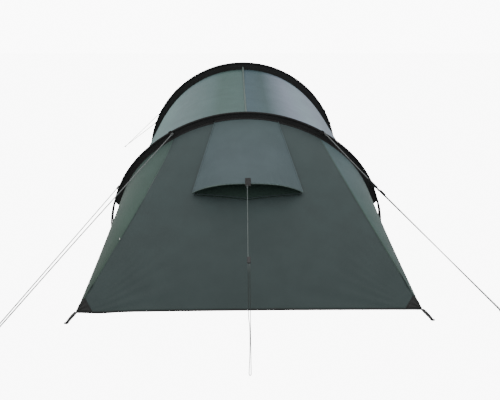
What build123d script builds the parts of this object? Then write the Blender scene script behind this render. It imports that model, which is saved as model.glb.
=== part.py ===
"""Tunnel tent for three: two hoops in fabric sleeves, a fly, a hung inner tent and guy lines.

Millimetres, +Z up. The origin is on the ground, midway between the two ends, and the end with
the sloping panel and the hooded vent faces -Y.
"""
import os
from math import asin, cos, degrees, radians, sin, tan

from build123d import *

# Driving sizes
HALF_WIDTH = 925
HALF_LENGTH = 1862
REAR_HOOP_Y = -795
FRONT_HOOP_Y = 1360
FRONT_CORNER_X = 800
REAR_CORNER_X = 930
ARC_TURN = 48.6

# Poles and their sleeves
POLE_RADIUS = 4.25
POLE_BORE = 2.6
ELASTIC_RADIUS = 1.25
SLEEVE_RADIUS = 8
SLEEVE_BORE = 6.4
SLEEVE_FOOT_Z = 330
FIN_GAP = 1.9
FERRULE_LENGTH = 70
FERRULE_RADIUS = 5.4
POLE_FOOT_Z = 40
TIP_RADIUS = 5.2

# Fabric: how far it lies inside the hoops' outer line, and how thick the solids are
FLY_INSET = 45
FABRIC = 3
ROOF_SAG = 30
ROOF_CLEARANCE = 12
INNER_INSET = 112
INNER_FABRIC = 2.5
SEAM_GAP = 0.6
CORNER_SHARE = 0.0055
CORNER_FABRIC = 1
CORNER_GAP = 2

# Rear end
REAR_SEAM_X = 490
HOOD_TOP_X = 209
HOOD_CORNER = (338, -1255, 514)
BRIM_RISE = 95
BRIM_SLOPE = (0, -65, 69)
VENT_TOP_HALF = 205
VENT_TOP_Y = -850
VENT_SIDE_HALF = 325
VENT_LOW_Y = -1313
VENT_SIDE_Y = VENT_LOW_Y + 62
VENT_MESH_MARGIN = 12
VENT_TAB_WIDTH = 34
VENT_TAB_LENGTH = 68
VENT_TAB_HOLE_Y = -17
VENT_TAB_HOLE = 2.6

# Front end and its door
FRONT_SEAM_X = 560
DOOR_TURN = 23
DOOR_TOP_Y = 1405
DOOR_SILL = 24
DOOR_GAP = 2

# Inner tent
INNER_FRONT_Y = 450
INNER_REAR_Y = -1640
TRAY_HALF_WIDTH = 806
TRAY_HEIGHT = 76
INNER_DOOR_HALF = 310
INNER_DOOR_LOW = 92
INNER_DOOR_SPRING = 560

# Cords: the guy lines are thicker than the vent's cord
GUY_RADIUS = 2.4
CORD_RADIUS = 1.5
BORE_CLEARANCE = 0.4
STRAND_HALF_GAP = 4.5

# Metal rings and webbing
RING_RADIUS = 13
RING_BORE = 9
RING_HEIGHT = 3
WEBBING = 2


class Hoop:
    """A bent pole's outer line: two upright legs, two side arcs and a crown arc, all tangent.

    Each side arc turns through the angle called turn before it meets the crown arc.
    """

    def __init__(self, y, half_width, springing, rise, turn=ARC_TURN, x=0):
        self.x = x
        self.y = y
        self.half_width = half_width
        self.springing = springing
        self.rise = rise
        self.turn = turn
        squash = (1 - sin(radians(turn))) / cos(radians(turn))
        self.side_radius = (rise - squash * half_width) / (1 - squash)
        self.side_x = half_width - self.side_radius
        self.crown_radius = rise + self.side_x * tan(radians(turn))
        self.crown_z = springing + rise - self.crown_radius
        side = self.side_radius * radians(self.turn)
        crown = self.crown_radius * radians(180 - 2 * self.turn)
        self.lengths = [springing, side, crown, side, springing]
        self.length = sum(self.lengths)

    def arc(self, number, inset):
        """Centre, radius, first angle and swept angle of arc 1 (right), 2 (crown) or 3 (left)."""
        if number == 2:
            return (0, self.crown_z), self.crown_radius - inset, self.turn, 180 - 2 * self.turn
        side = 1 if number == 1 else -1
        first = 0 if number == 1 else 180 - self.turn
        return (side * self.side_x, self.springing), self.side_radius - inset, first, self.turn

    def draw(self, start, end, inset):
        """Draws the stretch between two stations, counted along the line from the right foot."""
        passed = 0
        for number, length in enumerate(self.lengths):
            first = max(start - passed, 0) / length
            last = min(end - passed, length) / length
            passed += length
            if last - first < 1e-6:
                continue
            if number in (0, 4):
                side = 1 if number == 0 else -1
                heights = (first, last) if number == 0 else (1 - first, 1 - last)
                x = side * (self.half_width - inset)
                Line((x, heights[0] * self.springing), (x, heights[1] * self.springing))
            else:
                centre, radius, begin, sweep_angle = self.arc(number, inset)
                CenterArc(centre, radius, begin + sweep_angle * first, sweep_angle * (last - first))

    def point(self, station, inset):
        """The (x, z) of one station, moved inward by inset."""
        left = station > self.length / 2
        along = self.length - station if left else station
        if along <= self.springing:
            x, z = self.half_width - inset, along
        else:
            on_side = along <= self.springing + self.lengths[1]
            number = 1 if on_side else 2
            centre, radius, begin, sweep_angle = self.arc(number, inset)
            passed = self.springing if on_side else self.springing + self.lengths[1]
            angle = begin + sweep_angle * (along - passed) / self.lengths[number]
            spot = Vector(*centre) + Vector(radius, 0).rotate(Axis.Z, angle)
            x, z = spot.X, spot.Y
        return (-x if left else x, z)

    def side_station(self, height):
        """The station on the right side arc where the outer line is this high."""
        return self.springing + self.side_radius * asin((height - self.springing) / self.side_radius)

    def crown_station(self, x, inset):
        """The station on the right of the crown arc where the inset line is this far out."""
        return self.length / 2 - self.crown_radius * asin(x / (self.crown_radius - inset))

    def plane(self):
        return Plane(origin=(self.x, self.y, 0), x_dir=(1, 0, 0), z_dir=(0, -1, 0))

    def place(self, station, inset, forward=0):
        """A station's point in space, forward of the hoop's plane by the given distance."""
        x, z = self.point(station, inset)
        return Vector(self.x + x, self.y + forward, z)


def between(first, second, share, sag=0):
    """The line part of the way from one hoop to the next, its crown let down by sag."""
    sizes = ("y", "half_width", "springing", "rise")
    mixed = {name: (1 - share) * getattr(first, name) + share * getattr(second, name) for name in sizes}
    mixed["rise"] -= sag
    return Hoop(**mixed)


def strip(hoop, inset, thickness, start, end):
    """A thin arched face in a hoop's plane, from its inset line inward."""
    with BuildSketch(hoop.plane()) as face:
        with BuildLine():
            hoop.draw(start, end, inset)
            hoop.draw(start, end, inset + thickness)
            for station in (start, end):
                Line(hoop.point(station, inset), hoop.point(station, inset + thickness))
        make_face()
    return face.sketch


def bar_face(y, half_width, low, high):
    """A flat strip of a face across the tent, upright at the given y."""
    with BuildSketch(Plane(origin=(0, y, 0), x_dir=(1, 0, 0), z_dir=(0, -1, 0))) as face:
        with BuildLine():
            Polyline((half_width, low), (half_width, high), (-half_width, high), (-half_width, low), close=True)
        make_face()
    return face.sketch


def save(piece, name):
    piece.part.label = name
    export_step(piece.part, f"parts/{name}.step")


def save_mirrored(piece, name):
    """Writes the same piece on the other side of the tent."""
    with BuildPart() as twin:
        mirror(piece.part, about=Plane.YZ)
    save(twin, name)


def tube_along(hoop, start, end, inset, radius, bore=0):
    """A round tube that follows a hoop between two stations."""
    with BuildPart() as tube:
        with BuildLine(hoop.plane()) as path:
            hoop.draw(start, end, inset)
        foot = path.wires()[0]
        with BuildSketch(Plane(origin=hoop.place(start, inset), x_dir=(0, 1, 0), z_dir=foot % 0)):
            Circle(radius)
            if bore:
                Circle(bore, mode=Mode.SUBTRACT)
        sweep()
    return tube.part


os.makedirs("parts", exist_ok=True)

REAR = Hoop(REAR_HOOP_Y, HALF_WIDTH, springing=170, rise=785)
FRONT = Hoop(FRONT_HOOP_Y, HALF_WIDTH, springing=292, rise=908)
MIDDLE = between(REAR, FRONT, 0.5, ROOF_SAG)
ENDS = {"rear": REAR, "front": FRONT}
POLE_SECTIONS = {"rear": 6, "front": 7}
POLE_GROUPS = {"rear": {"right_leg": (0, 2), "arch": (2, 4), "left_leg": (4, 6)},
               "front": {"right_leg": (0, 2), "arch": (2, 5), "left_leg": (5, 7)}}

# Poles: tubular sections that butt inside ferrules, threaded on an elastic cord
for end, hoop in ENDS.items():
    first = POLE_FOOT_Z
    section = (hoop.length - 2 * POLE_FOOT_Z) / POLE_SECTIONS[end]
    joints = [first + section * number for number in range(POLE_SECTIONS[end] + 1)]
    for group, (low, high) in POLE_GROUPS[end].items():
        with BuildPart() as pole:
            for number in range(low, high):
                add(tube_along(hoop, joints[number] + SEAM_GAP / 2, joints[number + 1] - SEAM_GAP / 2,
                               SLEEVE_RADIUS, POLE_RADIUS, POLE_BORE))
        save(pole, f"{end}_pole_{group}")
    with BuildPart() as ferrules:
        for station in joints[1:-1]:
            add(tube_along(hoop, station - FERRULE_LENGTH / 2, station + FERRULE_LENGTH / 2,
                           SLEEVE_RADIUS, FERRULE_RADIUS, POLE_RADIUS + 0.1))
    save(ferrules, f"{end}_pole_ferrules")
with BuildPart() as shock_cords:
    for hoop in (REAR, FRONT):
        add(tube_along(hoop, POLE_FOOT_Z + 10, hoop.length - POLE_FOOT_Z - 10, SLEEVE_RADIUS, ELASTIC_RADIUS))
save(shock_cords, "shock_cords")

# Pole tips, the pins that they stand on, and the webbing with an eyelet under each foot
FOOT_PLATE = 22
PIN_RADIUS = 2
PIN_BORE = 2.4
PIN_TOP_Z = 26
TIP_FOOT_Z = 9
EYELET_X = HALF_WIDTH + 40
FOOT_WEB_LENGTH = EYELET_X + RING_RADIUS - (HALF_WIDTH - FLY_INSET + 2)
with BuildPart() as pole_tips:
    for hoop in (REAR, FRONT):
        with Locations(*[(side * (HALF_WIDTH - SLEEVE_RADIUS), hoop.y, TIP_FOOT_Z) for side in (1, -1)]):
            Cylinder(TIP_RADIUS, POLE_FOOT_Z - TIP_FOOT_Z, align=(Align.CENTER, Align.CENTER, Align.MIN))
            Cylinder(PIN_BORE, PIN_TOP_Z - TIP_FOOT_Z + 1, align=(Align.CENTER, Align.CENTER, Align.MIN),
                     mode=Mode.SUBTRACT)
save(pole_tips, "pole_tips")
with BuildPart() as foot_pins:
    for hoop in (REAR, FRONT):
        with Locations(*[(side * (HALF_WIDTH - SLEEVE_RADIUS), hoop.y, WEBBING) for side in (1, -1)]):
            Box(FOOT_PLATE, FOOT_PLATE, WEBBING, align=(Align.CENTER, Align.CENTER, Align.MIN))
            Cylinder(PIN_RADIUS, PIN_TOP_Z - WEBBING, align=(Align.CENTER, Align.CENTER, Align.MIN))
save(foot_pins, "foot_pins")
with BuildPart() as foot_webs:
    for hoop in (REAR, FRONT):
        for side in (1, -1):
            with BuildSketch() as web:
                with Locations((side * (EYELET_X + RING_RADIUS - FOOT_WEB_LENGTH / 2), hoop.y)):
                    RectangleRounded(FOOT_WEB_LENGTH, 26, 6)
                with Locations((side * EYELET_X, hoop.y)):
                    Circle(RING_BORE, mode=Mode.SUBTRACT)
            extrude(amount=WEBBING)
save(foot_webs, "foot_webs")
with BuildPart() as foot_eyelets:
    with BuildSketch(Plane.XY.offset(WEBBING)):
        with Locations(*[(side * EYELET_X, hoop.y) for hoop in (REAR, FRONT) for side in (1, -1)]):
            Circle(RING_RADIUS)
            Circle(RING_BORE, mode=Mode.SUBTRACT)
    extrude(amount=RING_HEIGHT)
save(foot_eyelets, "foot_eyelets")

# Pole sleeves: a fold of cloth round the pole, and the fin that joins it to the fly
for end, hoop in ENDS.items():
    start = hoop.side_station(SLEEVE_FOOT_Z)
    with BuildPart() as sleeve:
        with BuildLine(hoop.plane()) as path:
            hoop.draw(start, hoop.length - start, SLEEVE_RADIUS)
        with BuildSketch(Plane(origin=hoop.place(start, SLEEVE_RADIUS), x_dir=(0, 1, 0),
                               z_dir=path.wires()[0] % 0)):
            Circle(SLEEVE_RADIUS)
            Rectangle(FABRIC, FLY_INSET - SLEEVE_RADIUS - FIN_GAP, align=(Align.CENTER, Align.MIN))
            Circle(SLEEVE_BORE, mode=Mode.SUBTRACT)
        sweep()
    save(sleeve, f"{end}_sleeve")

# Fly roof: two halves between the hoops, the tape on their ridge seam and their side hems
with BuildPart() as roof_right:
    loft(sections=[strip(hoop, FLY_INSET, FABRIC, ROOF_CLEARANCE, hoop.length / 2 - SEAM_GAP / 2)
                   for hoop in (REAR, MIDDLE, FRONT)])
save(roof_right, "roof_right")
save_mirrored(roof_right, "roof_left")
with BuildPart() as ridge_tape:
    loft(sections=[strip(hoop, FLY_INSET - 1.5, 1.2, hoop.length / 2 - 12, hoop.length / 2 + 12)
                   for hoop in (REAR, MIDDLE, FRONT)])
save(ridge_tape, "ridge_tape")
with BuildPart() as side_hems:
    loft(sections=[strip(hoop, FLY_INSET - 1, FABRIC + 2, 0, ROOF_CLEARANCE) for hoop in (REAR, MIDDLE, FRONT)])
    mirror(about=Plane.YZ)
save(side_hems, "side_hems")


def end_panel(hoop, seam_x, corner_x, edge_y, inset=FLY_INSET, thickness=FABRIC):
    """The sloping centre sheet of one end, ruled from the hoop's crown to a straight bottom edge."""
    start = hoop.crown_station(seam_x, FLY_INSET)
    with BuildPart() as sheet:
        loft(sections=[strip(hoop, inset, thickness, start, hoop.length - start),
                       bar_face(edge_y, corner_x, FLY_INSET - inset, FLY_INSET - inset + thickness)], ruled=True)
    return sheet.part


def end_gusset(hoop, seam_x, corner_x, edge_y):
    """The cone-shaped side sheet of one end, from the hoop's right side to the bottom corner.

    It comes down to a very small copy of the hoop's side, just outside the panel's corner.
    """
    share = CORNER_SHARE
    end = hoop.crown_station(seam_x, FLY_INSET) - SEAM_GAP
    small = Hoop(edge_y, hoop.half_width * share, hoop.springing * share, hoop.rise * share,
                 x=corner_x + CORNER_GAP - seam_x * share)
    with BuildPart() as sheet:
        loft(sections=[strip(hoop, FLY_INSET, FABRIC, 0, end),
                       strip(small, FLY_INSET * share, CORNER_FABRIC, 0, end * share)], ruled=True)
    return sheet.part


# Rear end: panel with the vent cut in it, gussets, and the mesh behind the vent
vent_outline = [(-VENT_TOP_HALF, VENT_TOP_Y), (VENT_TOP_HALF, VENT_TOP_Y), (VENT_SIDE_HALF, VENT_SIDE_Y),
                (0, VENT_LOW_Y), (-VENT_SIDE_HALF, VENT_SIDE_Y)]
with BuildPart() as rear_panel:
    add(end_panel(REAR, REAR_SEAM_X, REAR_CORNER_X, -HALF_LENGTH))
    with BuildSketch():
        with BuildLine():
            Polyline(*vent_outline, close=True)
        make_face()
    extrude(amount=FRONT.length, mode=Mode.SUBTRACT)
save(rear_panel, "rear_panel")
with BuildPart() as vent_mesh:
    add(end_panel(REAR, REAR_SEAM_X, REAR_CORNER_X, -HALF_LENGTH, inset=FLY_INSET + FABRIC + 0.2, thickness=1.2))
    with BuildSketch():
        with BuildLine():
            Polyline(*vent_outline, close=True)
        make_face()
        offset(amount=VENT_MESH_MARGIN, kind=Kind.INTERSECTION)
    extrude(amount=FRONT.length, mode=Mode.INTERSECT)
save(vent_mesh, "vent_mesh")
with BuildPart() as rear_gusset_right:
    add(end_gusset(REAR, REAR_SEAM_X, REAR_CORNER_X, -HALF_LENGTH))
save(rear_gusset_right, "rear_gusset_right")
save_mirrored(rear_gusset_right, "rear_gusset_left")

# Vent hood: a scoop of cloth over the vent, its brim held open by the vent guy
brim_radius = (HOOD_CORNER[0] ** 2 + BRIM_RISE**2) / (2 * BRIM_RISE)
brim_turn = degrees(asin(HOOD_CORNER[0] / brim_radius))
brim_plane = Plane(origin=(0, HOOD_CORNER[1], HOOD_CORNER[2]), x_dir=(1, 0, 0),
                   z_dir=Vector(1, 0, 0).cross(Vector(*BRIM_SLOPE)))
hood_hoop = Hoop(REAR_HOOP_Y - FABRIC / 2 - 0.5, HALF_WIDTH, REAR.springing, REAR.rise)
hood_start = REAR.crown_station(HOOD_TOP_X, FLY_INSET)
with BuildSketch(brim_plane) as brim_face:
    with BuildLine():
        outer = CenterArc((0, BRIM_RISE - brim_radius), brim_radius, 90 - brim_turn, 2 * brim_turn)
        inner = CenterArc((0, BRIM_RISE - brim_radius), brim_radius - FABRIC, 90 - brim_turn, 2 * brim_turn)
        Line(outer @ 0, inner @ 0)
        Line(outer @ 1, inner @ 1)
    make_face()
with BuildPart() as vent_hood:
    loft(sections=[strip(hood_hoop, FLY_INSET - FABRIC - 0.3, FABRIC, hood_start, REAR.length - hood_start),
                   brim_face.sketch], ruled=True)
save(vent_hood, "vent_hood")
BRIM_ROD = 3.5
with BuildPart() as vent_brim:
    with BuildLine(brim_plane.offset(BRIM_ROD + 0.2)) as brim_line:
        CenterArc((0, BRIM_RISE - brim_radius), brim_radius - FABRIC / 2, 90 - brim_turn, 2 * brim_turn)
    brim_wire = brim_line.wires()[0]
    with BuildSketch(Plane(origin=brim_wire @ 0, z_dir=brim_wire % 0)):
        Circle(BRIM_ROD)
    sweep()
save(vent_brim, "vent_brim")
brim_top = brim_plane.from_local_coords(Vector(0, BRIM_RISE, 0))
hood_top = REAR.place(REAR.length / 2, FLY_INSET - FABRIC)
hood_rise = (hood_top - brim_top).normalized()
tab_plane = Plane(origin=brim_top, x_dir=(1, 0, 0), z_dir=Vector(1, 0, 0).cross(hood_rise)).offset(2.4)
with BuildPart() as vent_tab:
    with BuildSketch(tab_plane):
        with Locations((0, 10)):
            RectangleRounded(VENT_TAB_WIDTH, VENT_TAB_LENGTH, 4)
        with Locations((0, VENT_TAB_HOLE_Y)):
            Circle(VENT_TAB_HOLE, mode=Mode.SUBTRACT)
    extrude(amount=WEBBING)
save(vent_tab, "vent_tab")

# Front end: panel with a doorway, gussets, and the door that fills the doorway
half_turn = degrees(asin(FRONT_SEAM_X / (FRONT.crown_radius - FLY_INSET)))
door_top_x = Vector(0, FRONT.crown_radius - FLY_INSET).rotate(Axis.Z, -DOOR_TURN).X
door_low_x = FRONT_CORNER_X * DOOR_TURN / half_turn


def door_x(y):
    """Half the doorway's width, seen from above."""
    share = (y - FRONT_HOOP_Y) / (HALF_LENGTH - FRONT_HOOP_Y)
    return door_top_x + (door_low_x - door_top_x) * share


def doorway(gap):
    """The doorway's outline from above, smaller all round by the gap."""
    low_y = HALF_LENGTH - DOOR_SILL - gap
    top_y = DOOR_TOP_Y + gap
    with BuildSketch() as outline:
        with BuildLine():
            Polyline((door_x(low_y) - gap, low_y), (-door_x(low_y) + gap, low_y),
                     (-door_x(top_y) + gap, top_y), (door_x(top_y) - gap, top_y), close=True)
        make_face()
    return outline.sketch


with BuildPart() as front_panel:
    add(end_panel(FRONT, FRONT_SEAM_X, FRONT_CORNER_X, HALF_LENGTH))
    extrude(doorway(0), amount=FRONT.length, mode=Mode.SUBTRACT)
save(front_panel, "front_panel")
with BuildPart() as front_door:
    add(end_panel(FRONT, FRONT_SEAM_X, FRONT_CORNER_X, HALF_LENGTH))
    extrude(doorway(DOOR_GAP), amount=FRONT.length, mode=Mode.INTERSECT)
save(front_door, "front_door")
with BuildPart() as front_gusset_right:
    add(end_gusset(FRONT, FRONT_SEAM_X, FRONT_CORNER_X, HALF_LENGTH))
save(front_gusset_right, "front_gusset_right")
save_mirrored(front_gusset_right, "front_gusset_left")

# Door zip: a chain along the left edge of the door, its slider and the slider's pull
crown_reach = Vector(0, FRONT.crown_radius - FLY_INSET).rotate(Axis.Z, DOOR_TURN)
zip_top = Vector(crown_reach.X, FRONT_HOOP_Y, FRONT.crown_z + crown_reach.Y)
zip_low = Vector(-door_low_x, HALF_LENGTH, FABRIC)
zip_up = (zip_top - zip_low).normalized()
zip_across = Vector(1, 0, 0)
zip_out = zip_up.cross(zip_across).normalized()
zip_out = zip_out if zip_out.Y > 0 else -zip_out
zip_length = (zip_top - zip_low).length
zip_plane = Plane(origin=zip_low + zip_out * 2.5, x_dir=zip_up, z_dir=zip_out)
ZIP_START = 45
ZIP_END = zip_length - 118
ZIP_WIDTH = 8
ZIP_HEIGHT = 2.4
with BuildPart() as door_zip:
    with BuildSketch(zip_plane):
        with Locations(((ZIP_START + ZIP_END) / 2, 0)):
            Rectangle(ZIP_END - ZIP_START, ZIP_WIDTH)
    extrude(amount=ZIP_HEIGHT)
save(door_zip, "door_zip")
SLIDER_AT = ZIP_START + 20
SLIDER_LENGTH = 26
SLIDER_WIDTH = 14
SLIDER_HEIGHT = 6.4
PULL_PIVOT = SLIDER_AT + 6
PULL_HEIGHT = 8.8
PULL_PIN_RADIUS = 1
with BuildPart() as door_zip_slider:
    with BuildSketch(zip_plane.offset(-0.8)):
        with Locations((SLIDER_AT, 0)):
            RectangleRounded(SLIDER_LENGTH, SLIDER_WIDTH, 3)
    extrude(amount=SLIDER_HEIGHT)
    with BuildSketch(zip_plane.offset(-0.3)):
        with Locations((SLIDER_AT, 0)):
            Rectangle(SLIDER_LENGTH + 14, ZIP_WIDTH + 0.6)
    extrude(amount=ZIP_HEIGHT + 0.7, mode=Mode.SUBTRACT)
    with BuildSketch(zip_plane.offset(5.5)):
        with Locations((PULL_PIVOT, 5.6), (PULL_PIVOT, -5.6)):
            Rectangle(5, 1.8)
    extrude(amount=5.2)
    with BuildSketch(Plane(origin=zip_plane.from_local_coords(Vector(PULL_PIVOT, -6, PULL_HEIGHT)),
                           z_dir=zip_plane.y_dir)):
        Circle(PULL_PIN_RADIUS)
    extrude(amount=12)
save(door_zip_slider, "door_zip_slider")
PULL_HALF_WIDTH = 4
PULL_LENGTH = 40
with BuildPart() as door_zip_pull:
    with BuildSketch(Plane(origin=zip_plane.from_local_coords(Vector(PULL_PIVOT, -PULL_HALF_WIDTH, PULL_HEIGHT)),
                           x_dir=-zip_up, z_dir=zip_plane.y_dir)):
        Circle(2.4)
        Rectangle(PULL_LENGTH, 2, align=(Align.MIN, Align.CENTER))
        Circle(PULL_PIN_RADIUS + 0.08, mode=Mode.SUBTRACT)
    extrude(amount=2 * PULL_HALF_WIDTH)
    with BuildSketch(zip_plane.offset(PULL_HEIGHT - 1.6)):
        with Locations((PULL_PIVOT - PULL_LENGTH, 0)):
            RectangleRounded(26, 12, 4)
    extrude(amount=3.2)
save(door_zip_pull, "door_zip_pull")
print("zip origin", zip_plane.origin, "up", zip_up, "out", zip_out, "pull pivot",
      zip_plane.from_local_coords(Vector(PULL_PIVOT, 0, PULL_HEIGHT)))
hinge_low = Vector(door_low_x, HALF_LENGTH, FABRIC) + Vector(0, zip_out.Y, zip_out.Z) * 3
print("door hinge", hinge_low, "axis", Vector(-zip_up.X, zip_up.Y, zip_up.Z))

# Hems on the two end edges
HEM_DEPTH = 8
HEM_HEIGHT = 5
with BuildPart() as rear_hem:
    with Locations((0, -HALF_LENGTH - HEM_DEPTH / 2, 0)):
        Box(2 * REAR_CORNER_X, HEM_DEPTH, HEM_HEIGHT, align=(Align.CENTER, Align.CENTER, Align.MIN))
save(rear_hem, "rear_hem")
with BuildPart() as front_hem:
    with Locations((0, HALF_LENGTH + HEM_DEPTH / 2, 0)):
        Box(2 * FRONT_CORNER_X, HEM_DEPTH, HEM_HEIGHT, align=(Align.CENTER, Align.CENTER, Align.MIN))
save(front_hem, "front_hem")

# Corners: a sewn patch, a webbing strap and a peg ring on each
PATCH_RISE = 88
PATCH_RUN = 84
STRAP_LENGTH = 150
STRAP_WIDTH = 28
STRAP_TURN = 82
RING_REACH = 128
CORNERS = ((REAR, REAR_CORNER_X, REAR_SEAM_X, -1), (FRONT, FRONT_CORNER_X, FRONT_SEAM_X, 1))
with BuildPart() as corner_patches:
    for hoop, corner_x, seam_x, way in CORNERS:
        corner = Vector(corner_x, way * HALF_LENGTH, FABRIC)
        seam_rise = (hoop.place(hoop.crown_station(seam_x, FLY_INSET), FLY_INSET) - corner).normalized()
        patch_out = Vector(-way, 0, 0).cross(seam_rise).normalized()
        with BuildSketch(Plane(origin=corner + seam_rise * 9 + patch_out * 0.6, x_dir=(-1, 0, 0),
                               z_dir=patch_out)):
            with BuildLine():
                run = Line((0, 0), (PATCH_RUN, 0))
                up = Vector(0, seam_rise.Y, seam_rise.Z).length
                rise = Line((0, 0), (-seam_rise.X * PATCH_RISE, way * up * PATCH_RISE))
                Line(run @ 1, rise @ 1)
            make_face()
        extrude(amount=1.5)
    mirror(about=Plane.YZ)
save(corner_patches, "corner_patches")
ring_spots = []
with BuildPart() as corner_straps:
    for hoop, corner_x, seam_x, way in CORNERS:
        turn = STRAP_TURN * way
        start = Vector(corner_x, way * (HALF_LENGTH + HEM_DEPTH + 3))
        ring_spots.append(start + Vector(RING_REACH, 0).rotate(Axis.Z, turn))
        with BuildSketch():
            with Locations(Location((start.X, start.Y, 0), (0, 0, turn))):
                with Locations((STRAP_LENGTH / 2, 0)):
                    RectangleRounded(STRAP_LENGTH, STRAP_WIDTH, 6)
                with Locations((RING_REACH, 0)):
                    Circle(RING_BORE, mode=Mode.SUBTRACT)
        extrude(amount=WEBBING)
    mirror(about=Plane.YZ)
save(corner_straps, "corner_straps")
with BuildPart() as corner_rings:
    with BuildSketch(Plane.XY.offset(WEBBING)):
        with Locations(*[(side * spot.X, spot.Y) for spot in ring_spots for side in (1, -1)]):
            Circle(RING_RADIUS)
            Circle(RING_BORE, mode=Mode.SUBTRACT)
    extrude(amount=RING_HEIGHT)
save(corner_rings, "corner_rings")
print("corner rings", ring_spots)

# Inner tent: waterproof tray, arched canopy, sloping rear wall, front wall and its door
WALL_START = 82
with BuildPart() as groundsheet:
    with Locations((0, (INNER_FRONT_Y + INNER_REAR_Y) / 2, 0)):
        Box(2 * TRAY_HALF_WIDTH, INNER_FRONT_Y - INNER_REAR_Y + 8, TRAY_HEIGHT,
            align=(Align.CENTER, Align.CENTER, Align.MIN))
    offset(amount=-INNER_FABRIC, openings=groundsheet.faces().sort_by(Axis.Z)[-1])
save(groundsheet, "groundsheet")
inner_share = (INNER_FRONT_Y - REAR_HOOP_Y) / (FRONT_HOOP_Y - REAR_HOOP_Y)
INNER_FRONT = between(REAR, FRONT, inner_share, ROOF_SAG)
INNER_MIDDLE = between(REAR, FRONT, inner_share / 2, ROOF_SAG * 0.75)
with BuildPart() as inner_canopy:
    loft(sections=[strip(hoop, INNER_INSET, INNER_FABRIC, WALL_START, hoop.length - WALL_START)
                   for hoop in (REAR, INNER_MIDDLE, INNER_FRONT)])
save(inner_canopy, "inner_canopy")
back_strip = Hoop(INNER_REAR_Y, TRAY_HALF_WIDTH, springing=80, rise=62, turn=84)
with BuildPart() as inner_rear_wall:
    loft(sections=[strip(REAR, INNER_INSET, INNER_FABRIC, WALL_START, REAR.length - WALL_START),
                   strip(back_strip, 0, INNER_FABRIC, 78, back_strip.length - 78)], ruled=True)
save(inner_rear_wall, "inner_rear_wall")


def inner_doorway(gap):
    """The arched doorway in the inner tent's front wall, smaller all round by the gap."""
    half = INNER_DOOR_HALF - gap
    with BuildSketch(Plane.XZ.offset(-INNER_FRONT_Y)) as outline:
        with BuildLine():
            Polyline((-half, INNER_DOOR_SPRING), (-half, INNER_DOOR_LOW + gap), (half, INNER_DOOR_LOW + gap),
                     (half, INNER_DOOR_SPRING))
            CenterArc((0, INNER_DOOR_SPRING), half, 0, 180)
        make_face()
    return outline.sketch


with BuildPart() as inner_front_wall:
    with BuildSketch(Plane.XZ.offset(-INNER_FRONT_Y)):
        with BuildLine():
            INNER_FRONT.draw(WALL_START, INNER_FRONT.length - WALL_START, INNER_INSET)
            Line(INNER_FRONT.point(WALL_START, INNER_INSET), (-HALF_WIDTH + INNER_INSET, WALL_START))
        make_face()
    extrude(amount=-INNER_FABRIC)
    extrude(inner_doorway(0), amount=INNER_FABRIC * 2, both=True, mode=Mode.SUBTRACT)
save(inner_front_wall, "inner_front_wall")
with BuildPart() as inner_door:
    extrude(inner_doorway(DOOR_GAP), amount=-INNER_FABRIC)
save(inner_door, "inner_door")

# Toggles that hang the inner canopy from the fly
TOGGLE_RADIUS = 3
TOGGLE_GAP = 3
with BuildPart() as inner_toggles:
    for hoop in (REAR, INNER_MIDDLE, INNER_FRONT):
        for share in (0.3, 0.5, 0.7):
            low = hoop.place(hoop.length * share, INNER_INSET - TOGGLE_GAP)
            high = hoop.place(hoop.length * share, FLY_INSET + FABRIC + 14)
            shift = Vector(0, 12 if hoop is REAR else -12, 0)
            with BuildSketch(Plane(origin=low + shift, z_dir=high - low)):
                Circle(TOGGLE_RADIUS)
            extrude(amount=(high - low).length)
save(inner_toggles, "inner_toggles")

# Webbing tabs on the sleeves, where the guy lines start
TAB_INSET = 8
TAB_LENGTH = 26
TAB_OFFSET = SLEEVE_RADIUS + 0.3
GUY_STATIONS = {"rear": (REAR.side_station(452), REAR.crown_station(505, TAB_INSET)),
                "front": (FRONT.side_station(609), FRONT.side_station(728))}
with BuildPart() as guy_tabs:
    for end, hoop in ENDS.items():
        way = -1 if end == "rear" else 1
        for station in GUY_STATIONS[end]:
            for spot in (station, hoop.length - station):
                middle = hoop.place(spot, TAB_INSET, way * TAB_OFFSET)
                rim = hoop.place(spot, 0, way * TAB_OFFSET)
                with BuildSketch(Plane(origin=middle, x_dir=rim - middle, z_dir=(0, way, 0))):
                    RectangleRounded(TAB_LENGTH, 22, 3)
                extrude(amount=WEBBING)
save(guy_tabs, "guy_tabs")

# Guy lines: taut cords from a tab to a ring on the ground
RING_SPOTS = {"rear_left": Vector(-1297, -2697, 0), "rear_right": Vector(1352, -1950, 0),
              "front_left": Vector(-1571, 3675, 0)}
GUY_RING_RADIUS = 11
GUY_RING_WIRE = 2
TAB_FACE = TAB_OFFSET + WEBBING + 0.4 + GUY_RADIUS
GUY_SPREAD = 3.2
UPPER_START_INSET = 10
GUYS = {}
for corner, ring in RING_SPOTS.items():
    end, side = corner.split("_")
    hoop = ENDS[end]
    way = -1 if end == "rear" else 1
    outward = 1 if side == "right" else -1
    for level, station, aside in zip(("lower", "upper"), GUY_STATIONS[end], (GUY_SPREAD, -GUY_SPREAD)):
        spot = station if side == "right" else hoop.length - station
        start = hoop.place(spot, UPPER_START_INSET if level == "upper" else 0, way * TAB_FACE)
        to_ring = (ring - start).normalized() * (GUY_RING_RADIUS + GUY_RING_WIRE + 3)
        GUYS[f"guy_{corner}_{level}"] = (start, ring - to_ring + Vector(outward * aside, 0, GUY_RADIUS))
for name, (start, finish) in GUYS.items():
    with BuildPart() as guy:
        with BuildSketch(Plane(origin=start, z_dir=finish - start)):
            Circle(GUY_RADIUS)
        extrude(amount=(finish - start).length)
    save(guy, name)
    print(name, start, finish, "length", (finish - start).length)
with BuildPart() as guy_rings:
    with Locations(*[ring + Vector(0, 0, GUY_RING_WIRE) for ring in RING_SPOTS.values()]):
        Torus(GUY_RING_RADIUS, GUY_RING_WIRE)
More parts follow.
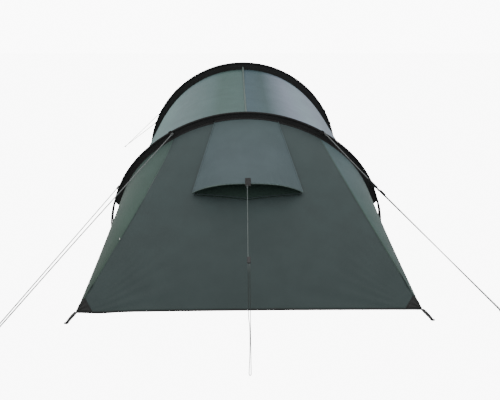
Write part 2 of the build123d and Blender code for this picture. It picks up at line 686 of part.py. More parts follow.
save(guy_rings, "guy_rings")

# The vent guy: one strand from the tab to the peg, round it, and back up to its runner
vent_start = tab_plane.from_local_coords(Vector(0, VENT_TAB_HOLE_Y, -2.8)) + Vector(-STRAND_HALF_GAP, 0, 0)
vent_peg = Vector(-14 - STRAND_HALF_GAP, -2559, 3)
vent_heading = (vent_peg - vent_start).normalized()
vent_across = Vector(2 * STRAND_HALF_GAP, 0, 0)
RUNNER_SHARE = 0.47
runner_spot = vent_start + (vent_peg - vent_start) * RUNNER_SHARE
RETURN_START = 32
with BuildPart() as vent_guy:
    with BuildLine() as route:
        FilletPolyline(vent_start, vent_peg, vent_peg + vent_across,
                       vent_peg + vent_across - vent_heading * RETURN_START, radius=STRAND_HALF_GAP * 0.9)
    with BuildSketch(Plane(origin=vent_start, z_dir=vent_heading)):
        Circle(CORD_RADIUS)
    sweep()
save(vent_guy, "vent_guy")
return_low = vent_peg + vent_across - vent_heading * RETURN_START
return_high = runner_spot + vent_across
with BuildPart() as vent_guy_return:
    with BuildSketch(Plane(origin=return_low, z_dir=return_high - return_low)):
        Circle(CORD_RADIUS)
    extrude(amount=(return_high - return_low).length)
save(vent_guy_return, "vent_guy_return")
print("vent guy", vent_start, vent_peg, "runner", runner_spot, "heading", vent_heading, "return", return_low)


def runner(spot, heading, length, width, thickness, bore, shifts):
    """A flat plastic runner on a cord, with one bore for each strand."""
    level = Plane(origin=spot - heading * (length / 2), x_dir=Vector(1, 0, 0), z_dir=heading)
    with BuildPart() as body:
        with BuildSketch(level):
            RectangleRounded(width, thickness, thickness * 0.3)
        extrude(amount=length)
        with BuildSketch(level):
            with Locations(*[(shift, 0) for shift in shifts]):
                Circle(bore)
        extrude(amount=length, mode=Mode.SUBTRACT)
    return body


RUNNER_LENGTH = 44
save(runner(runner_spot + vent_across / 2, vent_heading, RUNNER_LENGTH, 19, 8, CORD_RADIUS + BORE_CLEARANCE,
            (-STRAND_HALF_GAP, STRAND_HALF_GAP)), "vent_guy_runner")
RUNNERS = {"rear_right_upper": (0.385, RUNNER_LENGTH, 16, 10), "rear_right_lower": (0.045, 18, 10, 8),
           "rear_left_upper": (0.9, RUNNER_LENGTH, 16, 10), "rear_left_lower": (0.86, RUNNER_LENGTH, 16, 10)}
for corner, (share, length, width, thickness) in RUNNERS.items():
    start, finish = GUYS[f"guy_{corner}"]
    heading = (finish - start).normalized()
    save(runner(start + (finish - start) * share, heading, length, width, thickness,
                GUY_RADIUS + BORE_CLEARANCE, (0,)), f"{corner}_runner")
    print(corner, "runner heading", heading)
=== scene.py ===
"""The looks of a tunnel tent: cloth, sleeves, seams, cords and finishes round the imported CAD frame.

Metres, +Z up, in the frame of the CAD model: the vent end faces -Y and the door faces +Y.
"""
from collections import namedtuple
from math import asin, atan2, cos, exp, pi, radians, sin, tan

import bmesh
import bpy
import numpy as np
from mathutils import Euler, Matrix, Vector, noise


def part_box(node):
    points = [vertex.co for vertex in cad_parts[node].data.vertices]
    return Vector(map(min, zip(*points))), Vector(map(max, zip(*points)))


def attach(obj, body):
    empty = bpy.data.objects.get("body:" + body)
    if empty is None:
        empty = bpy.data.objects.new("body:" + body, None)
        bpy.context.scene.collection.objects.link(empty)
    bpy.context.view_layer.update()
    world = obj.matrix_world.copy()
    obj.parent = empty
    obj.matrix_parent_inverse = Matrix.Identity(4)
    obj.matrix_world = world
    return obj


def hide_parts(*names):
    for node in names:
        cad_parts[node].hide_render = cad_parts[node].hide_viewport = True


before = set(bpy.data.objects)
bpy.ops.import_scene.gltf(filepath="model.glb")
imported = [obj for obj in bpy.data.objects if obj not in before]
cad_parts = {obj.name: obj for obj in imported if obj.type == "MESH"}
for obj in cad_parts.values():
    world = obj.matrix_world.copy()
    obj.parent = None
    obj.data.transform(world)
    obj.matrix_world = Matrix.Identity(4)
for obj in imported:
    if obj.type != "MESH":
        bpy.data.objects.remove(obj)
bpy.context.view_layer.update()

# The radii of a pole and of the sleeve round it
POLE_RADIUS = 0.00425
SLEEVE_RADIUS = 0.008

# Sizes of the frame, read from the CAD nodes
HALF_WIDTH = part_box("rear_pole_right_leg")[1].x + SLEEVE_RADIUS - POLE_RADIUS
HALF_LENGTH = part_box("front_panel")[1].y
REAR_Y = sum(c.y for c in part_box("rear_pole_arch")) / 2
FRONT_Y = sum(c.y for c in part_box("front_pole_arch")) / 2
REAR_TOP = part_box("rear_sleeve")[1].z
FRONT_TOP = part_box("front_sleeve")[1].z
REAR_CORNER_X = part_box("rear_panel")[1].x
FRONT_CORNER_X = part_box("front_panel")[1].x

# Sizes of the hoops, and of the cloth between them. An inset is counted inward from a sleeve's outer line.
ARC_TURN = radians(48.6)
REAR_SPRINGING = 0.170
FRONT_SPRINGING = 0.292
FLY_INSET = 0.045
ROOF_SAG = 0.030
ROOF_CLEARANCE = 0.012
FRONT_DIP = 0.026
DIP_RUN = 0.22
DIP_FOOT_Z = 0.25
DIP_FULL_Z = 0.50
PUCKER_RUN = 0.05
FIN_REACH = {"rear": 0.051, "front": 0.078}
SLEEVE_FOOT_Z = 0.330
REAR_SEAM_X = 0.490
FRONT_SEAM_X = 0.560
HEM_Z = 0.004
HOOD_TOP_X = 0.209
HOOD_CORNER = Vector((0.338, -1.255, 0.514))
BRIM_RISE = 0.095
BRIM_FLATNESS = 2.9
BRIM_SLOPE = Vector((0, -0.65, 0.69)).normalized()
VENT_TOP_X = 0.205
VENT_TOP_Y = -0.850
VENT_SIDE_X = 0.325
VENT_SIDE_Y = -1.251
VENT_LOW_Y = -1.293
CLOTH = 0.0007
TRAY_CLOTH = 0.0006
CORD_RADIUS = 0.0018
GUY_RADIUS = 0.0032
GUY_KNOT = 0.0026
UP = Vector((0, 0, 1))


# ---------------- hoops and surfaces
class Hoop:
    """The outer line of a bent pole's sleeve: legs, side arcs and a crown arc, all tangent."""

    def __init__(self, y, springing, top):
        self.y = y
        self.springing = springing
        rise = top - springing
        squash = (1 - sin(ARC_TURN)) / cos(ARC_TURN)
        self.side_radius = (rise - squash * HALF_WIDTH) / (1 - squash)
        self.side_x = HALF_WIDTH - self.side_radius
        self.crown_radius = rise + self.side_x * tan(ARC_TURN)
        self.crown_z = top - self.crown_radius
        self.side = self.side_radius * ARC_TURN
        self.length = 2 * (springing + self.side) + self.crown_radius * (pi - 2 * ARC_TURN)

    def at(self, station, inset):
        """The point of one station, moved inward by inset, and its outward direction."""
        left = station > self.length / 2
        along = self.length - station if left else station
        if along < self.springing:
            centre, radius, angle = (self.side_x, along), self.side_radius, 0
        elif along < self.springing + self.side:
            centre, radius = (self.side_x, self.springing), self.side_radius
            angle = (along - self.springing) / self.side_radius
        else:
            centre, radius = (0, self.crown_z), self.crown_radius
            angle = ARC_TURN + (along - self.springing - self.side) / self.crown_radius
        out = Vector((cos(angle), 0, sin(angle)))
        spot = Vector((centre[0], self.y, centre[1])) + out * (radius - inset)
        if left:
            spot.x, out.x = -spot.x, -out.x
        return spot, out

    def on_side(self, side, station, inset):
        """The same for a station counted from the foot of one side: -1 is left, 1 is right."""
        return self.at(self.length - station if side < 0 else station, inset)

    def side_station(self, height):
        """The station on a side arc that is at a height."""
        return self.springing + self.side_radius * asin((height - self.springing) / self.side_radius)

    def crown_station(self, x, inset):
        """The station on the crown arc that is x across from the middle, moved inward by inset."""
        return self.length / 2 - self.crown_radius * asin(x / (self.crown_radius - inset))


def mix(a, b, share):
    return a + (b - a) * share


REAR = Hoop(REAR_Y, REAR_SPRINGING, REAR_TOP)
FRONT = Hoop(FRONT_Y, FRONT_SPRINGING, FRONT_TOP)
HOOPS_APART = FRONT_Y - REAR_Y
LABEL = {-1: "left", 1: "right"}

# way is where an end faces along y; seam_x is where its seams start at the hoop, corner_x where they end
End = namedtuple("End", "hoop way seam_x corner_x")
ENDS = {"rear": End(REAR, -1, REAR_SEAM_X, REAR_CORNER_X),
        "front": End(FRONT, 1, FRONT_SEAM_X, FRONT_CORNER_X)}


def between(share):
    """The fly's outer line part of the way from the rear hoop to the front hoop."""
    sag = ROOF_SAG * 4 * share * (1 - share)
    return Hoop(mix(REAR_Y, FRONT_Y, share), mix(REAR_SPRINGING, FRONT_SPRINGING, share),
                mix(REAR_TOP, FRONT_TOP, share) - sag)


def even(count):
    """Evenly spread shares from 0 to 1."""
    return np.linspace(0, 1, count)


def facing(direction, way):
    """The direction, turned round where it points away from the given way."""
    return direction if direction.dot(way) > 0 else -direction


def ripple(spot, size, seed=0.0):
    """A smooth value from about -1 to 1 that changes over the given size."""
    return noise.noise(Vector(spot) / size + Vector((seed, 2.3 * seed, -seed)))


def as_line(spots):
    """A list of points or directions as an array."""
    return np.array([spot[:] for spot in spots])


def as_grid(rows):
    """Rows of points as one array."""
    return np.array([as_line(row) for row in rows])


def numbers(function, across, along):
    """A grid of numbers, function(u, v) for u and v from 0 to 1."""
    return np.array([[function(u, v) for v in even(along)] for u in even(across)])


def sample(function, across, along):
    """A grid of points, made in the same way."""
    return numbers(lambda u, v: function(u, v)[:], across, along)


def normals_of(points):
    """The unit normals of a grid, from its neighbours."""
    du = np.gradient(points, axis=0)
    dv = np.gradient(points, axis=1)
    normal = np.cross(du, dv)
    return normal / np.maximum(np.linalg.norm(normal, axis=2, keepdims=True), 1e-9)


def pushed(points, depth):
    """The grid moved along its normals by depth, a grid of numbers."""
    return points + normals_of(points) * depth[..., None]


def outward(points, centre=(0, 0, 0.2)):
    """The grid, turned so that its normals point away from the centre."""
    away = (normals_of(points) * (points - np.array(centre))).sum()
    return points if away > 0 else points[::-1]


# ---------------- materials
def shader(name, rough=0.6, metal=0.0, sheen=0.0, specular=0.5):
    made = bpy.data.materials.new(name)
    made.use_nodes = True
    surface = made.node_tree.nodes["Principled BSDF"]
    for key, value in (("Roughness", rough), ("Metallic", metal), ("Sheen Weight", sheen),
                       ("Specular IOR Level", specular)):
        surface.inputs[key].default_value = value
    return made, made.node_tree, surface


def add_node(tree, kind, **inputs):
    node = tree.nodes.new("ShaderNode" + kind)
    for key, value in inputs.items():
        node.inputs[key].default_value = value
    return node


def texture(tree, kind, space="Object", **inputs):
    """A node that works on the tent's own coordinates, or on a piece's UVs in metres."""
    node = add_node(tree, kind, **inputs)
    tree.links.new(add_node(tree, "TexCoord").outputs[space], node.inputs["Vector"])
    return node


def bands(tree, direction, space="Object", **inputs):
    """A pattern of soft parallel bands."""
    node = texture(tree, "TexWave", space, **inputs)
    node.bands_direction = direction
    return node.outputs["Fac"]


def math_node(tree, operation, first, second):
    node = add_node(tree, "Math")
    node.operation = operation
    for number, value in enumerate((first, second)):
        if hasattr(value, "is_linked"):
            tree.links.new(value, node.inputs[number])
        else:
            node.inputs[number].default_value = value
    return node.outputs[0]


def ramp(tree, factor, stops):
    """The colour for a factor from 0 to 1: stops are (share of the way, colour) pairs."""
    node = add_node(tree, "ValToRGB")
    elements = node.color_ramp.elements
    while len(elements) < len(stops):
        elements.new(0.5)
    for element, (position, tint) in zip(elements, stops):
        element.position = position
        element.color = (*tint, 1)
    tree.links.new(factor, node.inputs[0])
    return node.outputs[0]


def two_tone(tree, factor, dark, light, low=0.35, high=0.65):
    return ramp(tree, factor, ((low, dark), (high, light)))


def scaled(colour, factor):
    return tuple(min(1.0, c * factor) for c in colour)


def multiplied(tree, colour_out, tint_out, share=1.0):
    node = add_node(tree, "MixRGB")
    node.blend_type = "MULTIPLY"
    node.inputs[0].default_value = share
    tree.links.new(colour_out, node.inputs[1])
    tree.links.new(tint_out, node.inputs[2])
    return node.outputs[0]


def graded(tree, colour_out, grades):
    """The colour times a ramp of tints along each grade's axis, from its low to its high place."""
    for axis, low, high, stops in grades:
        place = texture(tree, "SeparateXYZ").outputs[axis]
        share = math_node(tree, "DIVIDE", math_node(tree, "SUBTRACT", place, low), high - low)
        colour_out = multiplied(tree, colour_out, ramp(tree, share, stops))
    return colour_out


def bumped(tree, surface, height, strength, distance):
    bump = add_node(tree, "Bump", Strength=strength, Distance=distance)
    tree.links.new(height, bump.inputs["Height"])
    tree.links.new(bump.outputs[0], surface.inputs["Normal"])


def cloth(name, colour, rough=0.62, sheen=0.15, thread=0.0011, mottle=0.06, specular=0.35, grades=()):
    """Plain-woven cloth: crossed threads in relief, and a colour that varies a little over a hand's width."""
    made, tree, surface = shader(name, rough, sheen=sheen, specular=specular)
    surface.inputs["Sheen Roughness"].default_value = 0.45
    broad = texture(tree, "TexNoise", Scale=7.0, Detail=3.0).outputs["Fac"]
    mottled = two_tone(tree, broad, scaled(colour, 1 - mottle), scaled(colour, 1 + mottle))
    colour_out = graded(tree, mottled, grades)
    weave = math_node(tree, "MULTIPLY", *(bands(tree, direction, "UV", Scale=1 / (thread * 2 * pi),
                                                Distortion=0.4) for direction in "XY"))
    between_threads = two_tone(tree, weave, (0.55, 0.55, 0.55), (1, 1, 1), 0.0, 0.6)
    tree.links.new(multiplied(tree, colour_out, between_threads, 0.12), surface.inputs["Base Color"])
    creases = texture(tree, "TexNoise", Scale=38.0, Detail=4.0).outputs["Fac"]
    height = math_node(tree, "ADD", math_node(tree, "MULTIPLY", weave, 0.35), creases)
    bumped(tree, surface, height, 0.25, 0.0012)
    return made


def webbing_cloth(name, colour):
    """Ribbed woven tape: slanted ribs in relief."""
    made, tree, surface = shader(name, 0.7, sheen=0.2, specular=0.3)
    ribs = bands(tree, "DIAGONAL", Scale=110.0, Distortion=0.6)
    tree.links.new(two_tone(tree, ribs, scaled(colour, 0.6), scaled(colour, 1.3), 0.2, 0.8),
                   surface.inputs["Base Color"])
    bumped(tree, surface, ribs, 0.6, 0.0008)
    return made


def moulded(name, colour, rough=0.45, metal=0.0):
    """Moulded plastic or metal: fine grain, and slightly uneven gloss."""
    made, tree, surface = shader(name, rough, metal, specular=0.45)
    grain = texture(tree, "TexNoise", Scale=420.0, Detail=3.0).outputs["Fac"]
    tree.links.new(two_tone(tree, grain, scaled(colour, 0.85), scaled(colour, 1.15)),
                   surface.inputs["Base Color"])
    gloss = math_node(tree, "ADD", math_node(tree, "MULTIPLY", grain, 0.2), rough - 0.1)
    tree.links.new(gloss, surface.inputs["Roughness"])
    bumped(tree, surface, grain, 0.12, 0.0004)
    return made


def braid(name, colour, fleck, grades=()):
    """Braided cord: a slanted pattern of strands with a light fleck."""
    made, tree, surface = shader(name, 0.65, sheen=0.1, specular=0.3)
    strands = bands(tree, "DIAGONAL", Scale=140.0, Distortion=1.5)
    tree.links.new(graded(tree, two_tone(tree, strands, colour, fleck, 0.55, 0.95), grades),
                   surface.inputs["Base Color"])
    bumped(tree, surface, strands, 0.5, 0.0005)
    return made


def open_mesh(name, colour):
    """Fine insect mesh, drawn as dark threads over darker gaps. The gaps are painted shade, the dark inside
    seen through the mesh; the threads are lighter than the mesh's own near-black, painted light that comes
    through the fly.
    """
    made, tree, surface = shader(name, 0.9, specular=0.1)
    grid = texture(tree, "TexBrick", "UV", Scale=420.0)
    grid.offset = 0.0
    tree.links.new(two_tone(tree, grid.outputs["Fac"], scaled(colour, 0.4), colour),
                   surface.inputs["Base Color"])
    return made


# Grades: an axis, its low and high place, and the tints between them. On the fly's cloth they are painted
# light and shade.
X, Y, Z = 0, 1, 2
SLATE = (0.0435, 0.0695, 0.0690)
# Painted light and shade on the end panels: lighter and lilac towards the top, darker towards the ground
SLATE_PAINTED_LIGHT = (Z, 0.0, 0.9, [(0.0, (0.80, 0.80, 0.79)), (0.55, (0.88, 0.88, 0.88)), (0.85, (0.98, 0.97, 0.98)),
                            (1.0, (1.0, 0.94, 0.97))])
# Painted shade on the vent hood: darker towards its top, by the sleeve
HOOD_PAINTED_SHADE = (Z, 0.5, 0.93, [(0.0, (1.0, 0.97, 0.98)), (0.5, (1.0, 0.97, 1.0)), (1.0, (0.78, 0.81, 0.78))])
# Painted shade on the gussets: darker towards the ground
GUSSET_PAINTED_SHADE = (Z, 0.0, 0.8, [(0.0, (0.62, 0.64, 0.58)), (0.25, (0.72, 0.76, 0.68)), (0.5, (0.88, 0.96, 0.90)),
                             (1.0, (0.92, 0.92, 0.97))])
# Painted shade on the right rear gusset: darker towards the ground
GUSSET_RIGHT_PAINTED_SHADE = (Z, 0.0, 0.8, [(0.0, (0.68, 0.72, 0.60)), (0.25, (0.72, 0.78, 0.65)),
                                   (0.48, (0.75, 0.89, 0.76)), (0.7, (0.93, 0.97, 0.95)), (1.0, (1, 1, 1))])
ROOF_SHADE = (Y, 1.20, 1.36, [(0.0, (1, 1, 1)), (1.0, (0.55, 0.60, 0.60))])
# Painted light across the roof: lighter towards the sides where studio light shows through the cloth, darker
# by the ridge, greener on the left and bluer on the right as painted reflection
ROOF_LEFT_PAINTED_LIGHT = (X, -0.8, 0.0, [(0.0, (1, 1, 1)), (0.15, (0.98, 0.98, 0.99)), (0.35, (0.80, 0.74, 0.78)),
                                 (0.66, (0.50, 0.52, 0.53)), (0.76, (0.36, 0.42, 0.39)),
                                 (1.0, (0.36, 0.42, 0.40))])
ROOF_RIGHT_PAINTED_LIGHT = (X, 0.0, 0.8, [(0.0, (0.205, 0.285, 0.31)), (0.2, (0.19, 0.27, 0.26)),
                                 (0.44, (0.84, 0.76, 0.84)), (0.6, (1, 0.98, 1)), (0.75, (1, 0.92, 0.97)),
                                 (1.0, (0.95, 0.88, 0.92))])
# The fly is one grey-green cloth. The hood, gusset and roof colours are lit copies of the slate one, painted
# light: the hood and roof lighter as they face the overhead light, the gussets as they face the sides, the
# right gusset and the right roof bluer as painted light from that side.
PAINT = {
    "slate": cloth("slate_taffeta", SLATE, grades=(SLATE_PAINTED_LIGHT,)),
    "hood": cloth("hood_taffeta", (0.070, 0.109, 0.117), grades=(HOOD_PAINTED_SHADE,)),
    "gusset": cloth("gusset_taffeta", (0.058, 0.106, 0.088), grades=(GUSSET_PAINTED_SHADE,)),
    "gusset_right": cloth("gusset_right_taffeta", (0.080, 0.130, 0.140), grades=(GUSSET_RIGHT_PAINTED_SHADE,)),
    "roof_left": cloth("roof_left_taffeta", (0.190, 0.305, 0.300), rough=0.6, sheen=0.03, specular=0.2,
                       grades=(ROOF_LEFT_PAINTED_LIGHT, ROOF_SHADE)),
    "roof_right": cloth("roof_right_taffeta", (0.265, 0.355, 0.405), rough=0.6, sheen=0.03, specular=0.2,
                        grades=(ROOF_RIGHT_PAINTED_LIGHT, ROOF_SHADE)),
    "black": cloth("black_cloth", (0.012, 0.0125, 0.013), rough=0.72, sheen=0.08, mottle=0.2),
    "patch": cloth("patch_cloth", (0.0175, 0.0185, 0.0178), rough=0.75, sheen=0.1, mottle=0.15, thread=0.002),
    # Painted highlight: the hood's rolled hem, lighter than the hood's own cloth where light catches it
    "brim_edge": cloth("brim_roll_highlight", (0.120, 0.175, 0.158), rough=0.6),
    "inner": cloth("inner_cloth", (0.50, 0.52, 0.50), rough=0.8, mottle=0.03),
    "tray": cloth("tray_cloth", (0.035, 0.042, 0.048), rough=0.45, sheen=0.0, mottle=0.1),
    # Painted light: lighter than the mesh's own colour, for light through the fly under the hood
    "mesh": open_mesh("insect_mesh", (0.090, 0.150, 0.125)),
    "webbing": webbing_cloth("black_webbing", (0.012, 0.012, 0.012)),
    "thread": moulded("seam_thread", (0.045, 0.052, 0.050), 0.8),
    "plastic": moulded("black_plastic", (0.014, 0.014, 0.015)),
    "pole": moulded("glass_fibre", (0.016, 0.016, 0.018), 0.32),
    "steel": moulded("satin_steel", (0.42, 0.42, 0.42), 0.35, 1.0),
    "dark_steel": moulded("black_steel", (0.02, 0.02, 0.021), 0.4, 0.6),
    "pale_tag": moulded("pale_tag", (0.62, 0.64, 0.62), 0.7),
    "elastic": moulded("elastic_cord", (0.02, 0.02, 0.02), 0.7),
    "cord": braid("guy_cord", (0.085, 0.095, 0.095), (0.36, 0.38, 0.38)),
    "far_cord": braid("pale_green_cord", (0.16, 0.18, 0.15), (0.40, 0.42, 0.36)),
    "pale_cord": braid("pale_guy_cord", (0.10, 0.12, 0.12), (0.26, 0.30, 0.29),
                       [(Y, -2.0, -1.8, [(0.0, (0.10, 0.13, 0.12)), (0.6, (1, 1, 1))])]),
}


# What each cloth or cord is a slot for, unless a piece says otherwise
SLOT_OF = {"slate": "slate_fly", "hood": "hood_fly", "brim_edge": "hood_fly", "gusset": "gusset_fly",
           "gusset_right": "gusset_fly", "roof_left": "roof_fly", "roof_right": "roof_fly",
           "black": "black_cloth", "patch": "black_cloth", "inner": "inner_cloth", "tray": "groundsheet",
           "mesh": "mesh", "webbing": "webbing", "cord": "guy_cord", "far_cord": "guy_cord",
           "pale_cord": "guy_cord"}


# ---------------- mesh making
def finish_piece(piece, paint, body="tent", slot=None, smooth=True):
    slot = slot or SLOT_OF.get(paint)
    piece.data.materials.append(PAINT[paint])
    if smooth and piece.type == "MESH":
        piece.data.polygons.foreach_set("use_smooth", [True] * len(piece.data.polygons))
    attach(piece, body)
    return piece


def link(name, mesh):
    piece = bpy.data.objects.new(name, mesh)
    bpy.context.scene.collection.objects.link(piece)
    return piece


def new_mesh(name, vertices, faces):
    mesh = bpy.data.meshes.new(name)
    mesh.from_pydata(vertices, [], faces)
    return mesh


def grid_mesh(name, points, closed=False):
    """A quad mesh from a grid of points, its UVs in metres along both ways of the grid."""
    across, along = points.shape[:2]
    count = across if closed else across - 1
    row_pairs = [(i * along, (i + 1) % across * along) for i in range(count)]
    faces = [(here + j, after + j, after + j + 1, here + j + 1)
             for here, after in row_pairs for j in range(along - 1)]
    mesh = new_mesh(name, points.reshape(-1, 3).tolist(), faces)
    steps_u = np.linalg.norm(np.diff(points, axis=0), axis=2).mean(axis=1)
    steps_v = np.linalg.norm(np.diff(points, axis=1), axis=2).mean(axis=0)
    us = np.concatenate([[0], np.cumsum(steps_u)])
    vs = np.concatenate([[0], np.cumsum(steps_v)])
    layer = mesh.uv_layers.new(name="UVMap")
    loops = np.zeros(len(mesh.loops), int)
    mesh.loops.foreach_get("vertex_index", loops)
    layer.data.foreach_set("uv", np.stack([us[loops // along], vs[loops % along]], axis=1).ravel())
    return mesh


def thicken(piece, thickness=CLOTH):
    made = piece.modifiers.new("thickness", "SOLIDIFY")
    made.thickness = thickness
    made.offset = -1.0


def fill_ends(mesh):
    """Closes a tube's two ends with flat faces, and turns every face outward."""
    made = bmesh.new()
    made.from_mesh(mesh)
    bmesh.ops.holes_fill(made, edges=[e for e in made.edges if e.is_boundary], sides=0)
    bmesh.ops.recalc_face_normals(made, faces=made.faces)
    made.to_mesh(mesh)
    made.free()


def measure(points):
    """A grid's flat size and area: its longest run each way, and the sum of its cells."""
    du = np.diff(points, axis=0)
    dv = np.diff(points, axis=1)
    width = np.linalg.norm(du, axis=2).sum(axis=0).max()
    length = np.linalg.norm(dv, axis=2).sum(axis=1).max()
    area = np.linalg.norm(np.cross(du[:, :-1], dv[:-1]), axis=2).sum()
    return (float(width), float(length)), float(area)


def spans(mesh):
    """The width and length of a nearly flat mesh, taken in its own plane."""
    spots = np.array([vertex.co[:] for vertex in mesh.vertices])
    spots -= spots.mean(axis=0)
    along = spots @ np.linalg.svd(spots, full_matrices=False)[2][:2].T
    length, width = np.ptp(along, axis=0)
    return float(width), float(length)


def panel(name, points, paint, stands_for=(), body="tent", cuts=None):
    """One sheet of the tent's cloth, from a grid of points. cuts changes the mesh before it is thickened."""
    points = outward(points)
    mesh = grid_mesh(name, points)
    flat, area = measure(points)
    if cuts:
        cuts(mesh)
        area = sum(face.area for face in mesh.polygons)
    if cuts or area < 0.5 * flat[0] * flat[1]:
        flat = spans(mesh)
    piece = link(name, mesh)
    thicken(piece)
    finish_piece(piece, paint, body)
    if stands_for:
        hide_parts(*stands_for)
    return piece


def strip_along(name, line, normals, width, height, paint, slot=None):
    """A low raised band that follows a line on a surface, rounded over its width."""
    line, up = as_line(line), as_line(normals)
    ahead = np.gradient(line, axis=0)
    side = np.cross(ahead, up)
    side /= np.maximum(np.linalg.norm(side, axis=1, keepdims=True), 1e-9)
    profile = [(-0.5, -0.3), (-0.5, 0.5), (-0.32, 1.0), (0.0, 1.12), (0.32, 1.0), (0.5, 0.5), (0.5, -0.3)]
    rows = np.array([line + side * (a * width) + up * (b * height) for a, b in profile])
    return finish_piece(link(name, grid_mesh(name, rows[::-1])), paint, slot=slot)


def stitches_along(name, rows, spacing=0.006, radius=0.00045):
    """Short stitches lying on a surface, one small pointed bead each. rows are (points, normals) pairs."""
    vertices, faces = [], []
    for line, normals in rows:
        line, up_all = as_line(line), as_line(normals)
        steps = np.linalg.norm(np.diff(line, axis=0), axis=1)
        passed = np.concatenate([[0], np.cumsum(steps)])
        for at in np.arange(spacing / 2, passed[-1], spacing):
            spot = np.array([np.interp(at, passed, line[:, k]) for k in range(3)])
            tip = np.array([np.interp(at + spacing * 0.1, passed, line[:, k]) for k in range(3)])
            up = np.array([np.interp(at, passed, up_all[:, k]) for k in range(3)])
            ahead = tip - spot
            size = np.linalg.norm(ahead)
            if size < 1e-9:
                continue
            ahead = ahead / size * spacing * 0.34
            side = np.cross(ahead, up)
            side = side / max(np.linalg.norm(side), 1e-9) * radius
            up = up * radius
            base = len(vertices)
            vertices += map(tuple, (spot - ahead, spot + side, spot + up * 1.2, spot - side, spot + ahead))
            faces += [(base + a, base + b, base + c) for a, b, c in
                      ((0, 2, 1), (0, 3, 2), (1, 2, 4), (2, 3, 4))]
    return finish_piece(link(name, new_mesh(name, vertices, faces)), "thread")


def cord_curve(name, route, radius=CORD_RADIUS):
    """A cord on one smooth open line through its route."""
    data = bpy.data.curves.new(name, "CURVE")
    data.dimensions = "3D"
    data.bevel_depth = radius
    data.bevel_resolution = 4
    data.use_fill_caps = True
    line = data.splines.new("NURBS")
    line.points.add(len(route) - 1)
    for point, spot in zip(line.points, route):
        point.co = (*spot, 1)
    line.order_u = 3
    line.use_endpoint_u = True
    line.resolution_u = 24
    return link(name, data)


def tube_mesh(name, line, radius, paint, sides=10, slot=None):
    """A round tube along a list of points; radius may be a number or one for each point."""
    line = as_line(line)
    radii = np.full(len(line), radius) if np.isscalar(radius) else np.array(radius)
    ahead = np.gradient(line, axis=0)
    ahead /= np.linalg.norm(ahead, axis=1, keepdims=True)
    side = np.cross(ahead[0], (0, 0, 1) if abs(ahead[0][2]) < 0.9 else (1, 0, 0))
    frames = []
    for direction in ahead:
        side = side - direction * (side @ direction)
        side /= np.linalg.norm(side)
        frames.append((side, np.cross(direction, side)))
    turns = np.linspace(0, 2 * pi, sides, endpoint=False)
    rows = np.array([[line[k] + (frames[k][0] * cos(t) + frames[k][1] * sin(t)) * radii[k]
                      for k in range(len(line))] for t in turns])
    mesh = grid_mesh(name, rows, closed=True)
    fill_ends(mesh)
    return finish_piece(link(name, mesh), paint, slot=slot)


# ---------------- camera, floor and light
CAMERA_AT = Vector((-0.070, -5.137, 1.426))
CAMERA_PITCH = radians(13.89)
CAMERA_YAW = radians(1.23)
CAMERA_LENS = 47.12
camera_data = bpy.data.cameras.new("camera")
camera_data.lens = CAMERA_LENS
camera_data.sensor_width = 36
camera = link("camera", camera_data)
turned = Euler((pi / 2 - CAMERA_PITCH, 0, -CAMERA_YAW))
camera.matrix_world = Matrix.LocRotScale(CAMERA_AT, turned, None)
bpy.context.scene.camera = camera

# The floor and the sky are brighter to the camera than to the tent, which gives a nearly white backdrop
FLOOR_REACH = 60
FLOOR_GLOW_SHARE = 0.93
BACKDROP_GLOW = 10.0
SKY_LIGHT = 0.8
corners = [(x * FLOOR_REACH, y * FLOOR_REACH, 0) for x, y in ((-1, -1), (1, -1), (1, 1), (-1, 1))]
floor = link("floor", new_mesh("floor", corners, [(0, 1, 2, 3)]))
floor_paint, floor_tree, floor_surface = shader("pale_floor", 0.9, specular=0.0)
floor_surface.inputs["Base Color"].default_value = (0.35, 0.35, 0.35, 1)
floor_glow = add_node(floor_tree, "Emission", Strength=BACKDROP_GLOW)
floor_seen = add_node(floor_tree, "LightPath").outputs["Is Camera Ray"]
floor_mix = add_node(floor_tree, "MixShader")
floor_tree.links.new(math_node(floor_tree, "MULTIPLY", floor_seen, FLOOR_GLOW_SHARE), floor_mix.inputs[0])
floor_tree.links.new(floor_surface.outputs[0], floor_mix.inputs[1])
floor_tree.links.new(floor_glow.outputs[0], floor_mix.inputs[2])
floor_tree.links.new(floor_mix.outputs[0], floor_tree.nodes["Material Output"].inputs["Surface"])
floor.data.materials.append(floor_paint)

world = bpy.data.worlds.new("studio")
world.use_nodes = True
sky = world.node_tree
sky_seen = add_node(sky, "LightPath").outputs["Is Camera Ray"]
sky_glow = math_node(sky, "MULTIPLY", sky_seen, BACKDROP_GLOW - SKY_LIGHT)
sky_strength = math_node(sky, "ADD", sky_glow, SKY_LIGHT)
sky.nodes["Background"].inputs[0].default_value = (1, 1, 1, 1)
sky.links.new(sky_strength, sky.nodes["Background"].inputs[1])
bpy.context.scene.world = world

lamp_data = bpy.data.lights.new("top_light", "AREA")
lamp_data.shape = "RECTANGLE"
lamp_data.size = lamp_data.size_y = 6
lamp_data.energy = 120
lamp = link("top_light", lamp_data)
lamp.location = (0, -0.5, 5.5)
lamp.rotation_euler = (-lamp.location).to_track_quat("-Z", "Y").to_euler()


